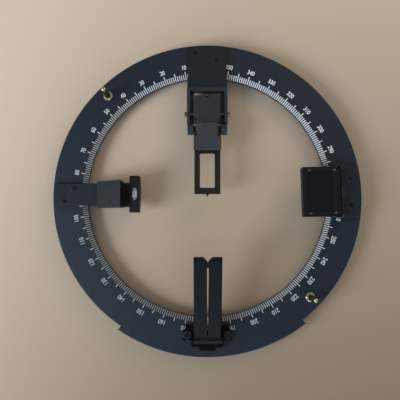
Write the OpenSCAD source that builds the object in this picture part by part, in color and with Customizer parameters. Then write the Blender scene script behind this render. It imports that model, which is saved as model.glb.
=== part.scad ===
// Bearing circle: a ring that sits over a ship's compass and turns by hand to take bearings.
// On it stand a folding sight frame with a black mirror, an eye vane, a sun prism with a
// spirit level, and a folding sun mirror.
// Millimetres. The origin is the ring's centre at its underside, +Z is up, and the sight
// line runs along Y, from the eye vane on -Y to the sight frame on +Y.

/* [Ring] */
// Diameter of the bore that sits over the compass bezel
bezel_bore_d = 200; // [190:1:210]
// Width of the seating lip that rests on top of the bezel
lip_w = 6.6; // [5:0.1:8]
// Width of the ring's wall outside the bore
wall_w = 20; // [19:0.5:24]
// Height of the ring
ring_h = 10; // [9:0.5:14]
// Thickness of the graduated top plate
top_plate_t = 4; // [3:0.25:5]
// Chamfer round the top outer edge
rim_chamfer = 0.8; // [0.2:0.1:1.5]
// Width of the heavier rim that balances the sight frame
counter_rim_w = 3.4; // [2:0.1:6]
// Angle of that rim to the left of the eye vane
counter_rim_left = 33.4; // [20:0.1:45]
// Angle of that rim to the right of the eye vane
counter_rim_right = 37.2; // [20:0.1:45]

/* [Turning knobs] */
// Height of a knob above the ring
knob_h = 17.5; // [12:0.5:24]
// Diameter of the collar at its foot
knob_collar_d = 7.3; // [6:0.1:9]
// Height of that collar
knob_collar_h = 2.2; // [1.5:0.1:4]
// Diameter of the stem above the collar
knob_stem_d = 5; // [4:0.1:5.5]
// Diameter of the stem below the tip
knob_neck_d = 2.4; // [1.8:0.1:3]
// Diameter of the round tip
knob_tip_d = 3.6; // [3.2:0.1:4.5]
// Diameter of the screwed spigot in the ring
knob_spigot_d = 4; // [3:0.1:5]
// Length of that spigot
knob_spigot_l = 5; // [3:0.5:6]
// Distance of a knob outside the bezel bore
knob_out = 10.6; // [9:0.1:14]
// Chamfer round the top of its collar
knob_chamfer = 0.8; // [0.2:0.1:1]
// Direction of the left knob from +X
knob_left_angle = 135; // [120:1:150]
// Direction of the right knob from +X
knob_right_angle = -45; // [-60:1:-30]

/* [Fixing screws] */
// Diameter of the screws that hold the four units
screw_d = 3; // [2.5:0.1:3.5]
// Diameter of their countersunk heads
screw_head_d = 6.2; // [5.5:0.1:7]
// Length of these screws
screw_l = 8; // [6:0.5:8.5]
// Width across the flats of their sockets
screw_socket = 2; // [1.5:0.1:2.5]
// Depth of their sockets
screw_socket_h = 1.3; // [0.8:0.1:1.4]
// Diameter of the small screws inside the units
small_screw_d = 1.6; // [1.2:0.1:1.8]
// Diameter of their countersunk heads
small_head_d = 2.8; // [2.4:0.1:3]
// Width of the slot in a small screw
small_slot_w = 0.5; // [0.3:0.1:0.7]
// Depth of that slot
small_slot_h = 0.4; // [0.2:0.1:0.5]

/* [Base plates] */
// Thickness of the plates that carry the units
plate_t = 3; // [2.5:0.1:4]
// Chamfer along their top edges
plate_chamfer = 0.5; // [0.2:0.1:0.8]
// Distance of their outer ends from the ring's edge
plate_inset = 1.8; // [0.9:0.1:3]

/* [Foresight plate and bracket] */
// Width of the foresight plate
foresight_plate_w = 30.4; // [28:0.2:34]
// Length of the plate inside the ring's inner edge
foresight_overhang = 9.4; // [8:0.2:14]
// Half the distance between its two screws
foresight_screw_spread = 8.5; // [6:0.25:10]
// Distance from the bore to the middle between the screws
foresight_screw_out = 9.4; // [8:0.1:12]
// How much further out one screw lies than the other
foresight_screw_stagger = 5.8; // [0:0.1:7]
// Distance of the middle between the screws to the left of the sight line
foresight_screw_shift = 0.9; // [0:0.1:2]
// Width of the bracket over its two cheeks
bracket_w = 31.6; // [30.8:0.2:32.6]
// Thickness of a cheek
cheek_t = 2.3; // [1.8:0.1:3]
// Height of a cheek above the ring
cheek_rise = 5.5; // [4:0.1:6.5]
// Distance from the plate's end to the sight frame's hinge
bracket_reach = 34; // [33:0.5:40]
// Length of the low neck between a cheek and its barrel
cheek_step = 5.5; // [5:0.1:6]
// Height of that neck above the ring
neck_rise = 3.8; // [3:0.1:5]
// Thickness of the wall that joins the cheeks
cross_wall_t = 2.5; // [1.5:0.1:3]
// Height of the ledges that carry the reading prism
ledge_h = 2.4; // [1.5:0.1:3]
// Diameter of the barrels that hold the sight frame's pivots
barrel_d = 8.4; // [7:0.1:9]
// Length of a barrel
barrel_l = 4.4; // [4.2:0.1:4.8]
// Height of the sight frame's hinge above the ring
frame_hinge_rise = 6; // [5.6:0.1:7]
// Half the distance between the bracket's screws
bracket_screw_spread = 8; // [5:0.5:11]
// Length of the bracket's screws
bracket_screw_l = 5; // [4.5:0.25:5.5]

/* [Reading prism] */
// Thickness of the case's walls beside the prism
case_wall = 2.45; // [2.2:0.05:2.6]
// Length of the case
case_l = 20.3; // [18:0.1:21]
// Distance from the sight frame's hinge to the case
case_clear = 6.2; // [6:0.1:7]
// Height of the case's top above the ring
case_rise = 6.4; // [5.4:0.1:6.8]
// Thickness of the cover
cover_t = 1.2; // [0.8:0.1:1.4]
// Width of the notch in the cover's outer edge
cover_notch_w = 2.4; // [1.5:0.1:4]
// Depth of that notch
cover_notch_l = 1.6; // [1:0.1:2.5]
// Width of the glass prism
prism_w = 15.2; // [12:0.1:15.4]
// Length of the prism's two short sides
prism_leg = 8.6; // [7:0.1:8.8]
// Distance from the case's front to the clamp screws
clamp_screw_y = 6.6; // [4:0.1:8]
// Diameter of the clamp screws' shanks
clamp_screw_d = 2; // [1.4:0.1:2.4]
// Diameter of their heads
clamp_head_d = 3.6; // [3:0.1:4.2]
// Thickness of their heads
clamp_head_t = 1.8; // [0.8:0.1:2]
// Length of their tips inside the case
clamp_hold = 1.2; // [0.8:0.1:1.8]
// Distance from the case's front to the cover's screws
cover_screw_in = 1.7; // [1.5:0.1:3]
// Length of the cover's screws
cover_screw_l = 3.2; // [2.5:0.1:4]

/* [Sight frame] */
// Width of the frame
frame_w = 19.8; // [18.8:0.1:20]
// Thickness of the frame
frame_t = 2.6; // [2.2:0.1:3]
// Height of the frame's upper face above its hinge
frame_top = 1; // [0.6:0.1:1.2]
// Distance from the hinge to the window
window_near = 18.6; // [18.4:0.1:22]
// Length of the window
window_l = 26.7; // [20:0.1:30]
// Width of the window
window_w = 11.4; // [9:0.1:13]
// Radius of the window's corners
window_corner_r = 1.2; // [0.4:0.1:2]
// Width of the bar at the tip
end_bar_w = 4.6; // [3:0.1:6]
// Width of the bar between the window and the mirror
cross_bar_w = 4.2; // [3:0.1:5]
// Width of the two rails beside the mirror's heel
rail_w = 1.8; // [1.6:0.1:2]
// Radius of the rails' round roots
root_r = 3; // [2.5:0.1:3.2]
// Width of the pointer at the tip
pointer_w = 2.3; // [1.5:0.1:3]
// Length of the pointer
pointer_l = 2.3; // [1:0.1:3]
// Diameter of the pivots that the frame turns on
pivot_d = 3; // [2.4:0.1:3.2]
// Gap between the frame and each washer
frame_side_gap = 0.2; // [0.1:0.05:0.3]
// Thickness of the washers between frame and barrels
frame_washer_t = 0.7; // [0.5:0.1:0.7]
// Diameter of these washers
frame_washer_d = 6.6; // [6:0.1:7]
// Diameter of the sight wire
wire_d = 0.12; // [0.1:0.02:0.3]
// Length of the wire held in each bar
wire_hold = 1.2; // [0.6:0.1:1.4]
// Length of the screws that hold the wire
wire_screw_l = 1.2; // [1:0.1:1.3]

/* [Black mirror] */
// Width of the holder's front part
holder_w = 21; // [19:0.1:21.2]
// Thickness of the holder
holder_t = 2.6; // [2.2:0.1:2.8]
// Gap between the folded mirror and the frame
holder_gap = 0.4; // [0.3:0.1:0.5]
// Distance from the frame's hinge to the mirror's pivot
mirror_pivot_y = 4.2; // [4:0.1:4.6]
// Height of that pivot in the holder
mirror_pivot_h = 1.6; // [1.4:0.1:1.7]
// Length of the holder from its pivot to its front end
holder_reach = 12.4; // [12:0.1:14]
// Length of the holder from its pivot to its heel
holder_heel = 9.2; // [7:0.1:9.4]
// Gap between the heel and the rails it passes between
heel_gap = 0.2; // [0.1:0.05:0.4]
// Distance from the ears to the step in the holder's sides
holder_step_clear = 0.4; // [0.3:0.1:1]
// Chamfer on the holder's front edge
holder_bevel = 0.9; // [0.4:0.1:1]
// Radius of the ears that carry the mirror
ear_r = 1.8; // [1.5:0.1:1.9]
// Thickness of the ears
ear_t = 1.4; // [1:0.1:1.5]
// Rim of the holder beside the glass
glass_side_rim = 1.3; // [1.2:0.1:2]
// Thickness of the black glass
glass_t = 1.2; // [0.8:0.1:1.3]
// Rim of the holder at the ends of the glass
glass_rim = 1; // [0.8:0.1:2]
// Length of the mirror's pivot screws inside the holder
mirror_screw_hold = 0.8; // [0.5:0.1:0.9]
// Thickness of their heads
mirror_screw_head_t = 0.5; // [0.3:0.1:0.6]

/* [Eye vane] */
// Distance from the bore to the vane's hinge
vane_hinge_out = 8.5; // [7.5:0.1:9.5]
// Gap between the vane's knuckle and its base plate
knuckle_gap = 0.2; // [0.1:0.05:0.6]
// Length of the vane from its hinge
vane_l = 65.8; // [50:0.1:68]
// Width of the vane
vane_w = 20.3; // [18:0.1:20.4]
// Thickness of the vane
vane_t = 3; // [2.4:0.1:3.4]
// Angle of the folded vane above the level
vane_fold_angle = 20; // [8:1:24]
// Diameter of the knuckle round the vane's pin
vane_knuckle_d = 5.6; // [5:0.1:5.8]
// Chamfer along the vane's edges
vane_chamfer = 0.8; // [0.3:0.1:1.1]
// Length of the bevel at the tip
vane_bevel_l = 2.2; // [1:0.1:3]
// Depth of that bevel
vane_bevel_t = 1.1; // [0.5:0.1:1.5]
// Distance from the pin to the sight slit
slit_near = 4.2; // [3.6:0.1:8]
// Distance from the slit's far end to the tip
slit_tip = 7.2; // [6:0.1:10]
// Width of the slit near the pin
slit_near_w = 0.8; // [0.6:0.1:1.6]
// Width of the slit near the tip
slit_tip_w = 1.2; // [0.8:0.1:2.2]
// Width of the V notch in the tip
notch_w = 6.4; // [4:0.1:8]
// Depth of the V notch
notch_h = 3.5; // [2:0.1:4.5]
// Radius of the notch's shoulders
notch_shoulder_r = 1.2; // [0.6:0.1:1.6]
// Radius at the bottom of the notch
notch_root_r = 0.5; // [0.3:0.1:0.8]

/* [Eye vane base] */
// Thickness of the base plate
vane_base_t = 2.5; // [2.2:0.1:2.5]
// Width of the base over its two screw wings
vane_base_w = 37.2; // [36:0.2:40]
// Length of the wings on the inner side of the screws
wing_in = 3.6; // [3.3:0.1:5]
// Length of the wings on the outer side of the screws
wing_out = 3.6; // [3.3:0.1:5]
// Half the distance between the two screws
vane_screw_spread = 15.25; // [15.2:0.05:15.4]
// Distance from the bore to the screws
vane_screw_out = 6.3; // [6.2:0.1:8]
// Width over the two toes that reach towards the scale
toe_span = 32.8; // [31:0.1:34]
// Width of the open space between the toes
toe_gap = 19.6; // [16:0.1:21]
// Length of the toes inside the wings
toe_l = 3.2; // [1:0.1:3.4]
// Thickness of the lugs that hold the pin
lug_t = 1.4; // [1.2:0.1:1.4]
// Radius of the lugs round the pin
lug_r = 3.2; // [2.9:0.1:3.4]
// Width of the back ledge behind the vane
back_w = 24.2; // [20:0.1:24.2]
// Height of the back ledge above the base plate
back_h = 1.8; // [0.6:0.1:2.4]
// Thickness of the back ledge
back_t = 2.4; // [1.2:0.1:2.6]
// Chamfer on the back ledge's corners
back_corner = 0.8; // [0.4:0.1:1.2]
// Width of the tail outside the back ledge
tail_w = 12.2; // [10:0.1:16]
// Length of the tail
tail_l = 2.7; // [1:0.1:3.5]
// Gap between the vane's knuckle and the back ledge
back_clear = 0.6; // [0.6:0.1:1]
// Diameter of the vane's pin
vane_pin_d = 3; // [2.4:0.1:3.2]
// Thickness of the washers beside the vane
vane_washer_t = 0.4; // [0.3:0.1:0.5]
// Diameter of these washers
vane_washer_d = 5.4; // [4.6:0.1:5.6]

/* [Level plate and sun prism] */
// Width of the level plate
level_plate_w = 17.2; // [16.8:0.2:22]
// Length of the plate inside the ring's inner edge
level_overhang = 8.4; // [7:0.2:10]
// Half the distance between its two screws
level_screw_spread = 5; // [4:0.25:5.2]
// Distance from the bore to the middle between the screws
level_screw_out = 6.2; // [6.2:0.1:10]
// How much further out one screw lies than the other
level_screw_stagger = 7.2; // [4:0.1:7.2]
// Width of the sun prism's housing
housing_w = 20.2; // [19:0.1:21]
// Length of the housing
housing_l = 20; // [19:0.1:24]
// Height of the lid's underside above the ring at the outer end
lid_low = 1.4; // [1.4:0.1:2.4]
// Gap between the top of the sun prism and the lid's underside at the inner end
prism_headroom = 1.5; // [1:0.1:3]
// Thickness of the sloping lid
lid_t = 1.4; // [1:0.1:1.8]
// Half the distance between the lid's screws
lid_screw_spread = 7.4; // [7.3:0.1:7.6]
// Distance from the housing's inner face to the lid's screws
lid_screw_in = 8.8; // [6:0.1:10]
// Width of the tongue that the housing hangs on under its plate
tongue_w = 16; // [14:0.1:17]
// Half the distance between the screws that hold the housing to its plate
tongue_screw_spread = 5; // [3:0.1:6.5]
// Length of the small screws in the housing
housing_screw_l = 5; // [4:0.1:5.5]
// Width of the sun prism
sun_prism_w = 10.4; // [9:0.1:10.6]
// Length of the sun prism's two short sides
sun_prism_leg = 11.6; // [9:0.1:12]
// Thickness of the housing's front wall
front_wall_t = 1; // [0.6:0.1:1.6]
// Overlap of the housing's windows on the prism
window_overlap = 0.9; // [0.4:0.1:1.5]
// Thickness of the housing's floor
housing_floor_t = 1; // [0.6:0.1:1.4]

/* [Spirit level] */
// Length of the spirit level across the arm
level_l = 27.6; // [24:0.2:32]
// Width of the level's case
level_w = 7.1; // [6.3:0.1:8]
// Height of the case's top above the ring
level_rise = 8; // [7.8:0.1:10]
// Chamfer along the case's top edges
level_chamfer = 0.5; // [0.2:0.1:0.7]
// Gap between the case and the housing
level_gap = 5.8; // [5.6:0.1:8]
// Diameter of the bore for the vial
vial_bore_d = 5.4; // [5:0.1:5.6]
// Wall of the glass vial
vial_wall = 0.6; // [0.4:0.1:0.8]
// Thickness of the case over the vial
vial_cover = 1.4; // [1:0.1:2]
// Length of each end cap
end_cap_l = 2.5; // [2:0.1:3.5]
// Length of the window over the vial
level_window_l = 9.4; // [8:0.1:12]
// Width of that window
level_window_w = 4.9; // [3.5:0.1:4.9]
// Length of the bubble
bubble_l = 5.5; // [4:0.1:7]
// Depth of the bubble
bubble_h = 0.9; // [0.5:0.1:1.2]
// Thickness of the bracket under the level
level_bracket_t = 1.6; // [1.2:0.1:1.8]
// Width of that bracket
level_bracket_w = 19; // [16:0.1:19.6]
// Distance from the bracket's end to the housing's outer end
bracket_short = 4; // [3:0.1:6]
// Distance of the bracket's screws from the prism's sides
prism_to_screw = 1.3; // [1.2:0.1:1.4]
// Distance of the front screws from the housing's inner face
bracket_screw_front = 2.6; // [2:0.1:4]
// Distance of the rear screws from the bracket's end
bracket_screw_back = 1.8; // [1.6:0.1:3]
// Length of the case's foot
foot_l = 4; // [3.6:0.1:4.6]
// Width of the case's foot
foot_w = 14; // [12:0.1:15.8]
// Thickness of the case's foot
foot_t = 1.6; // [1.4:0.1:2.2]
// Half the distance between the foot's screws
foot_screw_spread = 4.6; // [3:0.1:5]
// Length of the foot's screws
foot_screw_l = 2.6; // [2:0.1:2.9]

/* [Sun mirror base] */
// Angle by which the sun mirror's unit sits turned from the ring's side
mirror_turn = 1.1; // [0:0.1:2]
// Width of the base over its two ears
mirror_base_w = 39.6; // [39.2:0.2:44]
// Distance from the bore to the two screws
mirror_screw_out = 10.3; // [10:0.1:12.5]
// Half the distance between the two screws
mirror_screw_spread = 10.3; // [8:0.1:12]
// Distance from the bore to the mirror's hinge
mirror_hinge_out = 3.6; // [3:0.1:5]
// Height of that hinge above the ring
mirror_hinge_rise = 5; // [5:0.1:6]
// Distance from the hinge to the inner edge of the plate
mirror_base_clear = 1.8; // [1.4:0.1:3]
// Length of the side arms inside the hinge
mirror_arm_l = 5.6; // [3:0.1:7]
// Thickness of the side arms
mirror_arm_t = 2.6; // [2:0.1:2.8]
// Width of an ear
mirror_ear_w = 2.5; // [2:0.1:2.8]
// Length of the pads on which the folded mirror rests
mirror_pad_l = 1.6; // [1:0.1:2.5]
// Width of the middle knuckle
mirror_knuckle_w = 8.7; // [6:0.1:12]
// Radius of the hinge knuckles
mirror_knuckle_r = 2.2; // [2:0.1:2.4]
// Diameter of the hinge pin
mirror_pin_d = 2; // [1.6:0.1:2.4]

/* [Sun mirror] */
// Width of the mirror case
mirror_case_w = 37.8; // [35:0.2:38.6]
// Distance from the hinge to the outer face of the case
mirror_case_near = 5.6; // [5.2:0.1:7]
// Length of the case
mirror_case_l = 26; // [22:0.1:28]
// Height of the case's underside above the ring
mirror_case_low = 3.3; // [3.1:0.1:4]
// Thickness of the case
mirror_case_t = 5.7; // [5.2:0.1:7]
// Radius of the case's corners
mirror_corner_r = 1; // [0.5:0.1:3]
// Gap between the hinge bar and the knuckle in the middle
hinge_bar_gap = 0.2; // [0.1:0.05:0.5]
// Height of the hinge bar above the hinge
hinge_bar_rise = 2.4; // [2:0.1:3]
// Depth of the hinge bar below the hinge
hinge_bar_drop = 1.6; // [1.4:0.1:2]
// Width of the rim round the back panel
panel_rim = 3.3; // [1.5:0.1:4]
// Thickness of the back panel
panel_t = 0.8; // [0.6:0.1:1.2]
// Depth of the back panel below the rim
panel_sink = 0.4; // [0.2:0.1:0.8]
// Rim of the case round the mirror glass
sun_glass_rim = 2; // [1.4:0.1:4]
// Thickness of the mirror glass
sun_glass_t = 2.4; // [1.8:0.1:2.6]
// Radius of the mirror's hollow
sun_glass_r = 336; // [250:1:400]
// Length of the clips on the case's corners
clip_l = 2; // [1.2:0.1:3]
// Width of these clips
clip_w = 1.3; // [0.8:0.1:1.4]
// Height of these clips above the rim
clip_h = 0.3; // [0.2:0.05:0.5]
// Distance of the inner clips from the case's inner edge
clip_inner = 5.4; // [4:0.1:8]
// Distance of the outer clips from the case's outer edge
clip_outer = 1.6; // [1:0.1:3]

/* [Fits] */
// Radial clearance of a screw or fixed pin in its hole
screw_clear = 0.03; // [0.01:0.01:0.05]
// Radial clearance of a part that turns on its pin
running_clear = 0.05; // [0.02:0.01:0.1]
// Gap between the side faces of moving parts
side_clear = 0.1; // [0.05:0.01:0.15]
// Gap round glass and other pieces laid in a pocket
pocket_clear = 0.1; // [0.05:0.01:0.15]
// Gap between the ring's inner wall and what passes beside it
ring_clear = 0.3; // [0.2:0.05:0.6]
// Height of the arms above the underside of the top plate
hang_clear = 0.6; // [0.4:0.1:0.6]
// Gap between the reading prism's case and its ledges
ledge_clear = 0.25; // [0.1:0.05:0.4]

/* [Hidden] */
$fn = 96;

anodised = "#2b323c";
satin_black = "#23262b";
deep_black = "#15171b";
mirror_black = "#3c3c42";
bright_steel = "#b9bcc0";
brass = "#b08f4e";
clear_glass = "#bcd3da";
level_green = "#c9d8cf";
silvered = "#d8dde0";

// How far a cutting shape runs past the face it cuts, and a joined one into its neighbour
cut = 1;
bore_r = bezel_bore_d / 2;
ring_r = bore_r + wall_w;
inner_r = bore_r - lip_w;
lip_z = ring_h - top_plate_t;
hang_z = lip_z + hang_clear;
plate_z = ring_h + plate_t;

function screw_pair(spread, out, stagger) = [
    [-spread, bore_r + out + stagger / 2],
    [spread, bore_r + out - stagger / 2]
];

// The units are drawn with their outward direction along +Y and turned to their sides
module facing(angle) {
    rotate([0, 0, angle]) children();
}

module both_sides() {
    children();
    mirror([1, 0, 0]) children();
}

// A solid with the given outline in the Y-Z plane, w wide along X and centred on x
module side_profile(w, x = 0) {
    translate([x, 0, 0]) rotate([90, 0, 90]) linear_extrude(height = w, center = true) children();
}

module box(x0, x1, y0, y1, z0, z1) {
    translate([x0, y0, z0]) cube([x1 - x0, y1 - y0, z1 - z0]);
}

module rod_x(d, x0, x1, y, z) {
    translate([x0, y, z]) rotate([0, 90, 0]) cylinder(d = d, h = x1 - x0);
}

// A plate along Y with chamfered top edges
module chamfered_plate(w, y0, y1, z0, t, c) {
    translate([0, y1, z0]) rotate([90, 0, 0]) linear_extrude(height = y1 - y0)
        polygon([
            [-w / 2, 0], [w / 2, 0], [w / 2, t - c],
            [w / 2 - c, t], [c - w / 2, t], [-w / 2, t - c]
        ]);
}

// A rectangle with round corners, made of squares and circles
module rounded_rectangle(w, l, r) {
    square([w, l - 2 * r], center = true);
    square([w - 2 * r, l], center = true);
    for (x = [-1, 1], y = [-1, 1])
        translate([x * (w / 2 - r), y * (l / 2 - r)]) circle(r = r);
}

// A countersunk screw with its head's face at z = 0, pointing down
module countersunk_screw(d, head_d, l) {
    head_h = (head_d - d) / 2;
    translate([0, 0, -head_h]) cylinder(d1 = d, d2 = head_d, h = head_h);
    translate([0, 0, -l]) cylinder(d = d, h = l - head_h);
}

// The hole for that screw, open upwards
module countersunk_hole(d, head_d, l) {
    head_h = (head_d - d) / 2;
    translate([0, 0, -head_h])
        cylinder(d1 = d + 2 * screw_clear, d2 = head_d + 2 * screw_clear, h = head_h);
    cylinder(d = head_d + 2 * screw_clear, h = cut);
    translate([0, 0, -l - screw_clear]) cylinder(d = d + 2 * screw_clear, h = l);
}

module fixing_screws(places, z) {
    for (p = places)
        translate([p.x, p.y, z])
            difference() {
                countersunk_screw(screw_d, screw_head_d, screw_l);
                translate([0, 0, -screw_socket_h])
                    cylinder(d = screw_socket / cos(30), h = screw_socket_h + cut, $fn = 6);
            }
}

module fixing_holes(places, z) {
    for (p = places)
        translate([p.x, p.y, z]) countersunk_hole(screw_d, screw_head_d, screw_l);
}

module small_screw(l) {
    difference() {
        countersunk_screw(small_screw_d, small_head_d, l);
        translate([-small_head_d, -small_slot_w / 2, -small_slot_h])
            cube([2 * small_head_d, small_slot_w, small_slot_h + cut]);
    }
}

module small_hole(l) {
    countersunk_hole(small_screw_d, small_head_d, l);
}

foresight_screws_at = [
    for (p = screw_pair(foresight_screw_spread, foresight_screw_out, foresight_screw_stagger))
        [p.x - foresight_screw_shift, p.y]
];
vane_screws_at = screw_pair(vane_screw_spread, vane_screw_out, 0);
level_screws_at = screw_pair(level_screw_spread, level_screw_out, level_screw_stagger);
mirror_screws_at = screw_pair(mirror_screw_spread, mirror_screw_out, 0);

north = 0;
west = 90;
south = 180;
east = -90;
mirror_side = east + mirror_turn;

// The ring

module ring_section() {
    polygon([
        [bore_r, 0], [ring_r, 0], [ring_r, ring_h - rim_chamfer],
        [ring_r - rim_chamfer, ring_h], [inner_r, ring_h], [inner_r, lip_z], [bore_r, lip_z]
    ]);
}

module counter_rim_section() {
    rim_r = ring_r + counter_rim_w;
    root_r = ring_r - 2 * rim_chamfer;
    polygon([
        [root_r, 0], [rim_r, 0], [rim_r, ring_h - rim_chamfer],
        [rim_r - rim_chamfer, ring_h], [root_r, ring_h]
    ]);
}

module ring() color(anodised) difference() {
    union() {
        rotate_extrude($fn = 360) ring_section();
        rotate([0, 0, east - counter_rim_left])
            rotate_extrude(angle = counter_rim_left + counter_rim_right, $fn = 360)
                counter_rim_section();
    }
    facing(north) fixing_holes(foresight_screws_at, plate_z);
    facing(west) fixing_holes(level_screws_at, plate_z);
    facing(south) fixing_holes(vane_screws_at, ring_h + vane_base_t);
    facing(mirror_side) fixing_holes(mirror_screws_at, plate_z);
    for (angle = [knob_left_angle, knob_right_angle])
        rotate([0, 0, angle])
            translate([bore_r + knob_out, 0, ring_h - knob_spigot_l - screw_clear])
                cylinder(d = knob_spigot_d + 2 * screw_clear, h = knob_spigot_l + cut);
}

// The turning knobs

module turning_knob(angle) color(brass)
    rotate([0, 0, angle]) translate([bore_r + knob_out, 0, ring_h]) {
        tip_z = knob_h - knob_tip_d / 2;
        translate([0, 0, -knob_spigot_l]) cylinder(d = knob_spigot_d, h = knob_spigot_l);
        rotate_extrude() polygon([
            [0, 0], [knob_collar_d / 2, 0], [knob_collar_d / 2, knob_collar_h - knob_chamfer],
            [knob_collar_d / 2 - knob_chamfer, knob_collar_h], [knob_stem_d / 2, knob_collar_h],
            [knob_neck_d / 2, tip_z], [0, tip_z]
        ]);
        translate([0, 0, tip_z]) sphere(d = knob_tip_d);
    }

module turning_knob_left() turning_knob(knob_left_angle);

module turning_knob_right() turning_knob(knob_right_angle);

// The foresight plate and the bracket that carries the sight frame

foresight_end = inner_r - foresight_overhang;
frame_hinge_y = foresight_end - bracket_reach;
frame_hinge_z = ring_h + frame_hinge_rise;
cheek_x = bracket_w / 2 - cheek_t / 2;
cheek_front_y = frame_hinge_y + cheek_step;
barrel_x = frame_w / 2 + frame_side_gap + frame_washer_t;
barrel_out = barrel_x + barrel_l;
bracket_screws_at = [
    for (x = [-1, 1]) [x * bracket_screw_spread, foresight_end + foresight_overhang / 2]
];

// What runs under a plate stays clear of the ring's inner wall
module inside_ring() {
    intersection() {
        children();
        cylinder(r = inner_r - ring_clear, h = 4 * ring_h, $fn = 360);
    }
}

// What lies on the ring stays inside its edge
module on_ring() {
    intersection() {
        children();
        cylinder(r = ring_r - plate_inset, h = 4 * ring_h, $fn = 360);
    }
}

module from_below(places, z) {
    for (p = places)
        translate([p.x, p.y, z]) mirror([0, 0, 1]) children();
}

module foresight_plate() color(satin_black) facing(north) difference() {
    on_ring() chamfered_plate(
        foresight_plate_w, foresight_end, ring_r, ring_h, plate_t, plate_chamfer
    );
    fixing_holes(foresight_screws_at, plate_z);
    from_below(bracket_screws_at, hang_z) small_hole(bracket_screw_l);
}

module foresight_plate_screws() color(deep_black) facing(north)
    fixing_screws(foresight_screws_at, plate_z);

module cheek_outline() {
    polygon([
        [foresight_end - cross_wall_t, hang_z], [foresight_end - cross_wall_t, ring_h + cheek_rise],
        [cheek_front_y, ring_h + cheek_rise], [cheek_front_y, hang_z]
    ]);
}

// The low neck in front of a cheek, with its barrel
module neck_outline() {
    neck_z = ring_h + neck_rise;
    polygon([
        [cheek_front_y + cut, hang_z], [cheek_front_y + cut, neck_z], [frame_hinge_y, neck_z],
        [frame_hinge_y - barrel_d / 2, frame_hinge_z], [frame_hinge_y - barrel_d / 4, hang_z]
    ]);
    translate([frame_hinge_y, frame_hinge_z]) circle(d = barrel_d);
}

module foresight_bracket() color(satin_black) facing(north) difference() {
    union() {
        inside_ring() box(
            -bracket_w / 2, bracket_w / 2, foresight_end, inner_r, hang_z, ring_h
        );
        box(
            -bracket_w / 2, bracket_w / 2, foresight_end - cross_wall_t, foresight_end,
            hang_z, plate_z
        );
        both_sides() {
            side_profile(cheek_t, cheek_x) cheek_outline();
            side_profile(cheek_t, barrel_out - cheek_t / 2) neck_outline();
            rod_x(barrel_d, barrel_x, barrel_out, frame_hinge_y, frame_hinge_z);
            box(
                case_w / 2 + ledge_clear, bracket_w / 2 - cheek_t,
                cheek_front_y, foresight_end - cross_wall_t,
                hang_z, hang_z + ledge_h
            );
        }
    }
    both_sides() {
        rod_x(
            pivot_d + 2 * screw_clear, barrel_x - cut, barrel_out + cut,
            frame_hinge_y, frame_hinge_z
        );
        rod_x(
            clamp_screw_d + 2 * screw_clear, bracket_w / 2 - cheek_t - cut,
            bracket_w / 2 + cut, clamp_y, clamp_z
        );
    }
    from_below(bracket_screws_at, hang_z) small_hole(bracket_screw_l);
}

module foresight_bracket_screws() color(bright_steel) facing(north)
    from_below(bracket_screws_at, hang_z) small_screw(bracket_screw_l);

// The reading prism, through which the observer sees the compass card

case_w = prism_w + 2 * pocket_clear + 2 * case_wall;
case_y = frame_hinge_y + case_clear;
case_z = ring_h + case_rise;
clamp_y = case_y + clamp_screw_y;
clamp_z = (hang_z + ledge_h + case_z) / 2;
prism_front = case_y + pocket_clear;
prism_base = hang_z + pocket_clear;
cover_screw_y = case_y + cover_screw_in;
cover_screw_x = case_w / 2 - case_wall / 2;
clamp_tip_x = case_w / 2 - clamp_hold;

module right_prism_outline(front, base, leg) {
    polygon([[front, base], [front, base + leg], [front + leg, base]]);
}

module reading_prism() color(clear_glass) facing(north)
    side_profile(prism_w) right_prism_outline(prism_front, prism_base, prism_leg);

module reading_prism_case() color(satin_black) facing(north) difference() {
    box(-case_w / 2, case_w / 2, case_y, case_y + case_l, hang_z, case_z);
    slope_gap = pocket_clear / tan(45 / 2);
    side_profile(prism_w + 2 * pocket_clear) polygon([
        [case_y - cut, hang_z - cut], [case_y - cut, prism_base + prism_leg + pocket_clear],
        [prism_front, prism_base + prism_leg + pocket_clear],
        [prism_front + slope_gap, prism_base + prism_leg],
        [prism_front + slope_gap + prism_leg + cut, prism_base - cut]
    ]);
    both_sides() rod_x(
        clamp_screw_d + 2 * screw_clear, clamp_tip_x - screw_clear, case_w, clamp_y, clamp_z
    );
    cover_screw_places() small_hole(cover_screw_l);
}

module cover_screw_places() {
    for (x = [-1, 1])
        translate([x * cover_screw_x, cover_screw_y, case_z + cover_t]) children();
}

module reading_prism_cover() color(mirror_black) facing(north) difference() {
    chamfered_plate(case_w, case_y, case_y + case_l, case_z, cover_t, plate_chamfer);
    box(
        -cover_notch_w / 2, cover_notch_w / 2, case_y + case_l - cover_notch_l,
        case_y + case_l + cut, case_z - cut, case_z + cover_t + cut
    );
    cover_screw_places() small_hole(cover_screw_l);
}

module reading_prism_cover_screws() color(bright_steel) facing(north)
    cover_screw_places() small_screw(cover_screw_l);

module reading_prism_clamp_screws() color(bright_steel) facing(north) both_sides() difference() {
    union() {
        rod_x(clamp_screw_d, clamp_tip_x, bracket_w / 2, clamp_y, clamp_z);
        rod_x(
            clamp_head_d, bracket_w / 2, bracket_w / 2 + clamp_head_t, clamp_y, clamp_z
        );
    }
    box(
        bracket_w / 2 + clamp_head_t - small_slot_h, bracket_w / 2 + clamp_head_t + cut,
        clamp_y - small_slot_w / 2, clamp_y + small_slot_w / 2,
        clamp_z - clamp_head_d, clamp_z + clamp_head_d
    );
}

// The sight frame folds flat towards the middle of the ring and turns up on its pivots

frame_low = frame_hinge_z + frame_top - frame_t;
frame_high = frame_hinge_z + frame_top;
frame_l = window_near + window_l + end_bar_w;
mirror_pivot_rise = frame_top + holder_gap + mirror_pivot_h;
ear_y = frame_hinge_y - mirror_pivot_y;
ear_z = frame_hinge_z + mirror_pivot_rise;

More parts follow.
